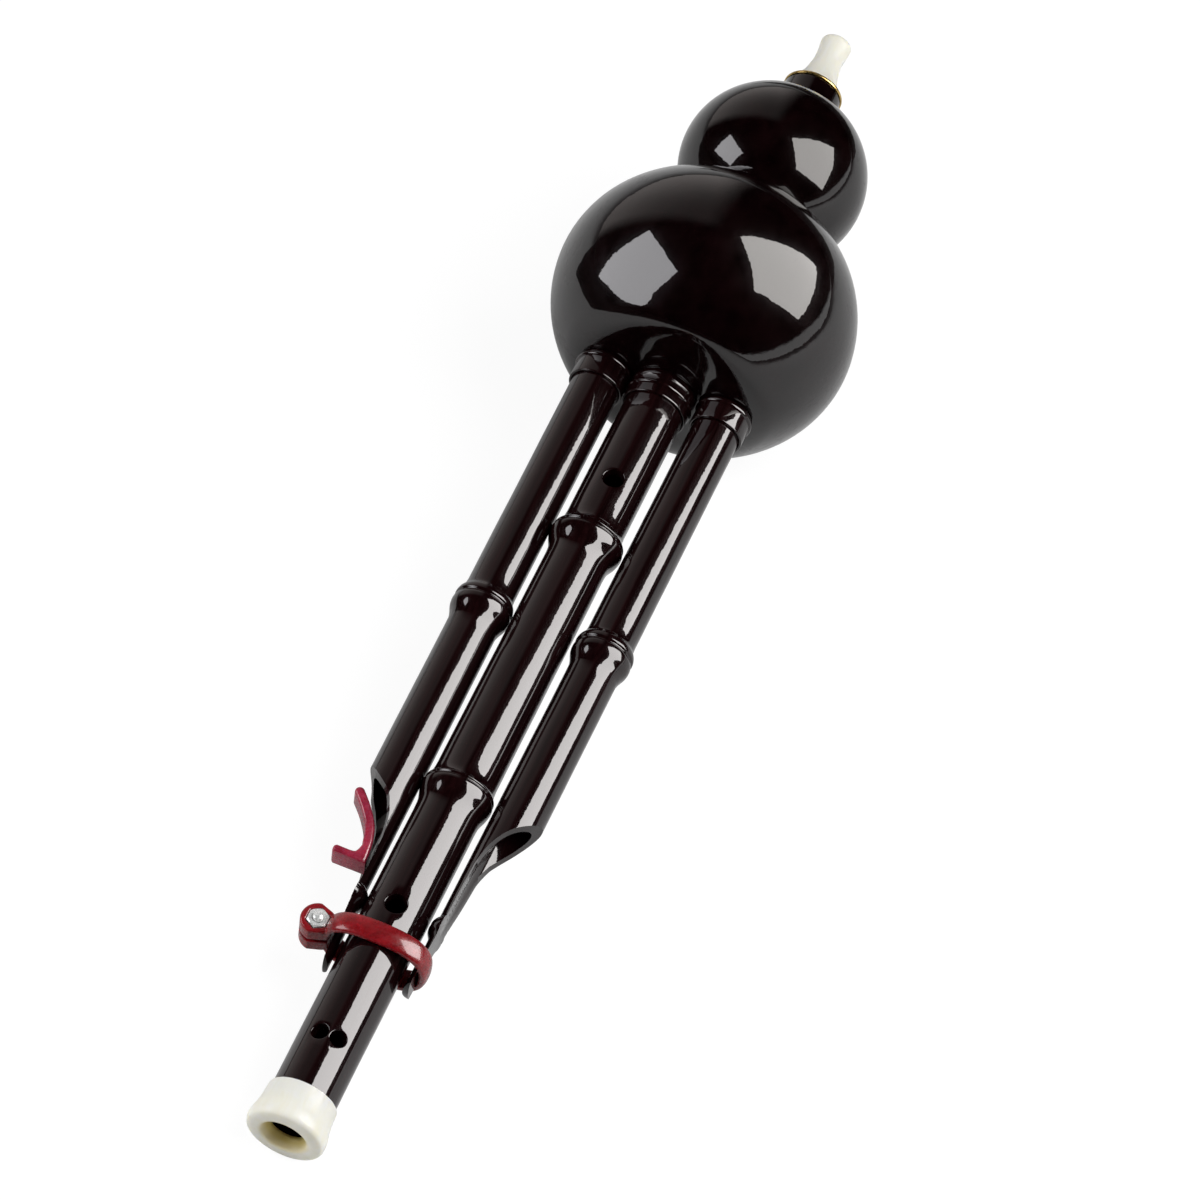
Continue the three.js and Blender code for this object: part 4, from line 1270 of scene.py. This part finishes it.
bore = MAIN_RADIUS + CLEARANCE
main_collar_outline = [
    *collar_front(
        bore, MAIN_COLLAR_BODY, MAIN_COLLAR_FRONT, inside=2.5, outside=2.5, edge=MAIN_COLLAR_EDGE),
    *ridge(MAIN_RIDGE, MAIN_COLLAR_BODY), *ridge(ring_place, MAIN_COLLAR_BODY, LOW_RISE),
    (MAIN_COLLAR_BODY, collar_end), (bore, collar_end)]
finish_piece(
    turn_on_axis(main_collar_outline), "melody_collar", cane_lacquer, "lacquered_cane", "gourd",
    "main_collar")

bore = DRONE_RADIUS + CLEARANCE
drone_collar_outline = [
    *collar_front(
        bore, DRONE_SLEEVE, DRONE_COLLAR_FRONT, inside=4, outside=3, edge=DRONE_COLLAR_EDGE),
    *ridge(ring_place, DRONE_SLEEVE), (DRONE_COLLAR_BODY, BASE_FACE - CLEARANCE),
    (DRONE_COLLAR_BODY, collar_end), (bore, collar_end)]
for side, hand in ((-1, "left"), (1, "right")):
    form = turned(turn_on_axis(drone_collar_outline, steps=112), drone_place(side))
    finish_piece(
        form, hand + "_collar", cane_lacquer, "lacquered_cane", "gourd", hand + "_drone_collar")

# %% [markdown]
# ## Bell cap
#
# A turned ferrule of ivory plastic closes the end of the melody pipe down to a round mouth. It
# swells towards the mouth, its edge is round, and the mouth is a short cone. Its amber is a
# painted glow in the finish, standing in for the light that comes through the wall.

# %% Bell cap
CAP_START = -1
CAP_END = 11.5
CAP_RIM = 11.20
CAP_EDGE = 9.9
CAP_SEAT = 3
MOUTH_WIDE = 6.7
MOUTH_NARROW = 5.1
MOUTH_CONE = 2
MOUTH_EDGE = 0.5
CAP_SHARES = [
    (0.985, 0), (0.72, 0.14), (0.48, 0.5), (0.32, 0.86), (0.2, 1), (0.1, 0.93), (0.03, 0.55),
    (0, -0.35)]
cap_skin = [
    (CAP_EDGE + (CAP_RIM - CAP_EDGE) * out, CAP_START + (CAP_END - CAP_START) * up)
    for up, out in smooth_through(CAP_SHARES, 6)]
cap_socket = MAIN_RADIUS + CLEARANCE
mouth = round_corners(
    [cap_skin[-1], (MOUTH_WIDE, CAP_START), (MOUTH_NARROW, MOUTH_CONE), (MOUTH_NARROW, CAP_SEAT),
     (cap_socket, CAP_SEAT), (cap_socket, CAP_END), cap_skin[0]], MOUTH_EDGE, closed=False)
finish_piece(
    turn_on_axis([*cap_skin, *mouth[1:-1]]), "bell_ferrule", ivory_plastic, "ivory_plastic",
    "bell_cap", "bell_cap")

# %% [markdown]
# ## Clamp band
#
# A moulded strap goes round the three pipes, with a round back and a flat inside, and ends in
# two round ears with a slit between them. A rounded strip is spun into a hoop, the hoop is
# pushed into the oval that the pipes need, and the ears are joined to it. A fine remesh and
# some smoothing then give every joint the small fillet that a mould leaves.

# %% Clamp band
BAND_PLACE = 60.5
BAND_WIDTH = 6.6
BAND_HALF_WIDTH = 13.6
BAND_FREE_SIDE = 13.1
BAND_HALF_HEIGHT = 9.35
BAND_THICKNESS = 2.2
BAND_POWER = 2.6
EAR_PLACE = -17.8
EAR_RADIUS = 4.9
EAR_TOP = 5.1
EAR_SLIT = 1.2
SCREW_RADIUS = 1.45
NUT_ACROSS = 5.5
NUT_THICKNESS = 2.4
NUT_PROUD = 0.3
nut_floor = EAR_TOP + NUT_PROUD - NUT_THICKNESS
HOOP = 30
STRIP_STEPS = 16
STRIP_SIDE = 0.75
STRIP_ROUND = 0.7
STRIP_CHAMFER = 0.3
NEARBY = 0.01


def oval_point(angle):
    """A place on the squarish oval that the strap follows round the pipes."""
    cosine, sine = math.cos(angle), math.sin(angle)
    half_width = BAND_HALF_WIDTH if cosine < 0 else BAND_FREE_SIDE
    return Vector((
        half_width * math.copysign(abs(cosine) ** (2 / BAND_POWER), cosine), 0,
        BAND_HALF_HEIGHT * math.copysign(abs(sine) ** (2 / BAND_POWER), sine)))


strip = []
for k in range(STRIP_STEPS + 1):
    angle = math.pi * k / STRIP_STEPS
    swell = (BAND_THICKNESS - STRIP_SIDE) * math.sin(angle) ** STRIP_ROUND
    strip.append((HOOP + STRIP_SIDE + swell, BAND_WIDTH / 2 * math.cos(angle)))
strip += [(HOOP, -BAND_WIDTH / 2 + STRIP_CHAMFER), (HOOP, BAND_WIDTH / 2 - STRIP_CHAMFER)]
hoop = turn_on_axis(strip, steps=144)
for vert in hoop.verts:
    around = math.atan2(vert.co.z, vert.co.x)
    proud = math.hypot(vert.co.x, vert.co.z) - HOOP
    here = oval_point(around)
    ahead, behind = oval_point(around + NEARBY), oval_point(around - NEARBY)
    outward = Vector((ahead.z - behind.z, 0, behind.x - ahead.x)).normalized()
    vert.co = Vector((here.x, vert.co.y, here.z)) + outward * proud

EAR_EDGE = 0.7
EAR_ROOT = 0.6
RIM_ANGLE = 1
SLIT_SIDES = (15, 12, EAR_SLIT)
POCKET_PLAY = 0.5
POCKET_DEEPER = 0.2
MELT_GRAIN = 0.2
round_end = (math.radians(a) for a in range(100, 261, 5))
ear_outline = [(EAR_PLACE + EAR_RADIUS * math.cos(a), EAR_RADIUS * math.sin(a)) for a in round_end]
ear_outline += [
    (-BAND_HALF_WIDTH - EAR_ROOT, -BAND_WIDTH / 2), (-BAND_HALF_WIDTH - EAR_ROOT, BAND_WIDTH / 2)]
ears = draw_out(ear_outline, -EAR_TOP, EAR_TOP)
rims = [edge for edge in ears.edges if edge.calc_face_angle(0) > RIM_ANGLE]
soften_rims(ears, rims, offset=EAR_EDGE, segments=3, clamp_overlap=True)
clamp = combine(hoop, [ears], "UNION")
slit = block(SLIT_SIDES, Matrix.Translation((EAR_PLACE - OVERRUN, 0, 0)))
screw_hole = upright_rod(
    SCREW_RADIUS + CLEARANCE, -EAR_TOP - OVERRUN, EAR_TOP + OVERRUN, across=EAR_PLACE)
pocket = upright_rod(
    (NUT_ACROSS + POCKET_PLAY) / math.sqrt(3), nut_floor - POCKET_DEEPER, EAR_TOP + 2 * OVERRUN,
    segments=6, across=EAR_PLACE)
clamp = turned(combine(clamp, [slit, screw_hole, pocket]), Matrix.Translation((0, BAND_PLACE, 0)))
blank = loose_object(clamp, "blank")
melt = blank.modifiers.new("melt", "REMESH")
melt.mode = "VOXEL"
melt.voxel_size = MELT_GRAIN
soften = blank.modifiers.new("soften", "SMOOTH")
soften.factor = 0.5
soften.iterations = 5
clamp = settled(blank)
finish_piece(clamp, "clamp_strap", clamp_red, "red_plastic", "clamp_band", "clamp_band", crease=180)

# %% [markdown]
# ## Screw and nut
#
# The nut sits in a six-sided pocket of the upper ear. The screw comes up through it from
# below, and its domed end stands a little proud. Both are plated steel. The thread is cut as
# plain grooves, because a real helix wouldn't be told from them at this size. The nut is a
# six-sided rod cut by a cone, which leaves the curved corners of a chamfered nut.

# %% Screw and nut
HEAD_RADIUS = 3
HEAD_HEIGHT = 2.1
SCREW_TAIL = 1.2
HEAD_SHARES = [(0, 0), (0.6, 0.1), (0.9, 0.35), (1, 0.6), (1, 0.9)]
SHANK_GROOVE = 0.1
HALF_PITCH = 0.35
THREAD_DEPTH = 0.16
THREAD_TOP = 0.3
THREAD_SHORT = 0.4
THREAD_REACH = 6.4
DRIVE_SIDES = (3.4, 0.7, 1.7)
NUT_CONE_OUT = 0.6
NUT_CONE_DROP = 0.9
NUT_CONE_IN = 0.15
THREAD_PLAY = 0.08
SINK_DEPTH = 1.0
SINK_IN = 0.2
SINK_OUT = 0.8
upright = Matrix.Rotation(math.pi / 2, 4, "X")
in_ear = Matrix.Translation((EAR_PLACE, BAND_PLACE, 0))
head_low = -EAR_TOP - CLEARANCE - HEAD_HEIGHT
head_high = head_low + HEAD_HEIGHT
tip = nut_floor + NUT_THICKNESS + SCREW_TAIL - SCREW_RADIUS / 2
head = [
    (HEAD_RADIUS * out, head_low + HEAD_HEIGHT * up) for out, up in smooth_through(HEAD_SHARES, 5)]
turns = int((tip - THREAD_SHORT - nut_floor + THREAD_REACH) / HALF_PITCH)
thread = [
    (SCREW_RADIUS - (THREAD_DEPTH if k % 2 else 0), tip - THREAD_TOP - HALF_PITCH * (turns - k))
    for k in range(turns)]
dome = [
    (SCREW_RADIUS * math.cos(math.radians(a)), tip + SCREW_RADIUS / 2 * math.sin(math.radians(a)))
    for a in range(0, 90, 9)]
screw_outline = [
    *head, (HEAD_RADIUS, head_high), (SCREW_RADIUS - SHANK_GROOVE, head_high), *thread, *dome,
    (0, tip + SCREW_RADIUS / 2)]
screw = turned(turn_on_axis(screw_outline, steps=48, closed=False), upright)
drive = [
    block(DRIVE_SIDES, Matrix.Rotation(turn, 4, "Z") @ Matrix.Translation((0, 0, head_low)))
    for turn in (0, math.pi / 2)]
screw = turned(combine(screw, drive), in_ear)
finish_piece(screw, "clamp_bolt", steel_painted_sheen, "steel", "clamp_screw", "clamp_screw", crease=30)

corner = NUT_ACROSS / math.sqrt(3)
nut_top = nut_floor + NUT_THICKNESS
nut = upright_rod(corner, nut_floor, nut_top, segments=6)
cone = turn_on_axis(
    [(0, nut_floor - OVERRUN), (corner + NUT_CONE_OUT, nut_floor - OVERRUN),
     (corner + NUT_CONE_OUT, nut_top - NUT_CONE_DROP), (NUT_ACROSS / 2 - NUT_CONE_IN, nut_top),
     (0, nut_top)], steps=72, closed=False)
nut = combine(nut, [turned(cone, upright)], "INTERSECT")
thread_hole = upright_rod(SCREW_RADIUS + THREAD_PLAY, nut_floor - OVERRUN, nut_top + OVERRUN)
countersink = bmesh.new()
bmesh.ops.create_cone(
    countersink, cap_ends=True, segments=48, radius1=SCREW_RADIUS - SINK_IN,
    radius2=SCREW_RADIUS + SINK_OUT, depth=SINK_DEPTH, matrix=Matrix.Translation((0, 0, nut_top)))
nut = turned(combine(nut, [thread_hole, countersink]), in_ear)
finish_piece(nut, "clamp_hexagon", steel_painted_sheen, "steel", "clamp_nut", "clamp_nut", crease=25)

# %% [markdown]
# ## Thumb rest
#
# The thumb rest is a curved blade of red plastic on the cut face of the left drone, with a
# short arm at its foot. It is drawn as a side outline and given width: a spine from a table of
# shares, offset to both sides, and the arm's smooth inner corner. All its long edges are
# rounded, which is where the photograph shows pink light.

# %% Thumb rest
REST_FOOT = 82.4
REST_HEIGHT = 21.4
REST_REACH = 9.3
REST_THICKNESS = 2.8
REST_ARM = 2.4
REST_ARM_REACH = 8.6
REST_HALF_DEPTH = 3.7
REST_EDGE = 0.95
TIP_STEPS = 10
FLAT_FACE = 0.01
SPINE_SHARES = [(0, 0), (0.17, 0.03), (0.36, 0.1), (0.56, 0.26), (0.78, 0.6), (0.96, 0.97)]
ARM_CORNER = [(0.35, 2.2), (0.9, 1.35), (2.0, 1.02)]
ARM_CORNER_TOP = 2.4
ARM_END_START = 0.7
ARM_END_ROUND = [(0.1, -0.5), (0.1, 0.5), (0.6, 0)]
half = REST_THICKNESS / 2
seat = next(out for out, along in scoop_curve(-1, 8) if along <= REST_FOOT) + CLEARANCE + half
spine = [
    Vector((seat + out * REST_REACH, REST_FOOT + up * REST_HEIGHT))
    for up, out in smooth_through(SPINE_SHARES, 4)]
back, front = [], []
for i, point in enumerate(spine):
    ahead = (spine[min(i + 1, len(spine) - 1)] - spine[max(i - 1, 0)]).normalized()
    normal = Vector((-ahead.y, ahead.x))
    back.append(point + normal * half)
    front.insert(0, point - normal * half)
lean = math.atan2(ahead.y, ahead.x)
tip_round = [
    spine[-1] + half * Vector((math.cos(a), math.sin(a)))
    for a in (lean + math.pi / 2 - math.pi * k / TIP_STEPS for k in range(1, TIP_STEPS))]
arm_end = seat + REST_ARM_REACH
corner = [(seat + half + out, REST_FOOT + up * REST_ARM) for out, up in ARM_CORNER]
arm = [Vector(point) for point in smooth_through(
    [*corner, (arm_end - ARM_END_START, REST_FOOT + REST_ARM)], 5)]
arm += [
    Vector((arm_end - ARM_END_ROUND[0][0], REST_FOOT + REST_ARM + ARM_END_ROUND[0][1])),
    Vector((arm_end, REST_FOOT + REST_ARM / 2)),
    *(Vector((arm_end - back_by, REST_FOOT + up)) for back_by, up in ARM_END_ROUND[1:])]
upper_front = [point for point in front if point.y > REST_FOOT + ARM_CORNER_TOP * REST_ARM]
outline = [(-point.x, point.y) for point in (*back, *tip_round, *upper_front, *arm)]
rest = draw_out(outline, -REST_HALF_DEPTH, REST_HALF_DEPTH)
rims = [edge for edge in rest.edges if abs(edge.verts[0].co.z - edge.verts[1].co.z) < FLAT_FACE]
soften_rims(rest, rims, offset=REST_EDGE, segments=4, clamp_overlap=False)
rest = turned(rest, drone_place(-1))
finish_piece(rest, "thumb_blade", rest_red, "red_plastic", "left_drone", "thumb_rest", crease=50)

# %% [markdown]
# ## Inside the gourd
#
# The brass reeds, the wax that seals the pipes and the corks that close them keep the solids
# of the frame, because their shapes are already right. They only get their finishes.

# %% Inner pieces
INNER = {"reed": rolled_brass, "seal": bees_wax, "plug": bottle_cork}
for name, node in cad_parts.items():
    finish = INNER.get(name.split("_")[-1])
    if finish:
        for slot in node.material_slots:
            slot.material = finish
        mirrors["pipes"].objects.link(node)
        print(name, "wears", finish.name)

looks_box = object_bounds()
for label, box in (("CAD", cad_box), ("looks", looks_box)):
    print(label, [round(1000 * (high - low), 2) for low, high in zip(*box)], "mm")
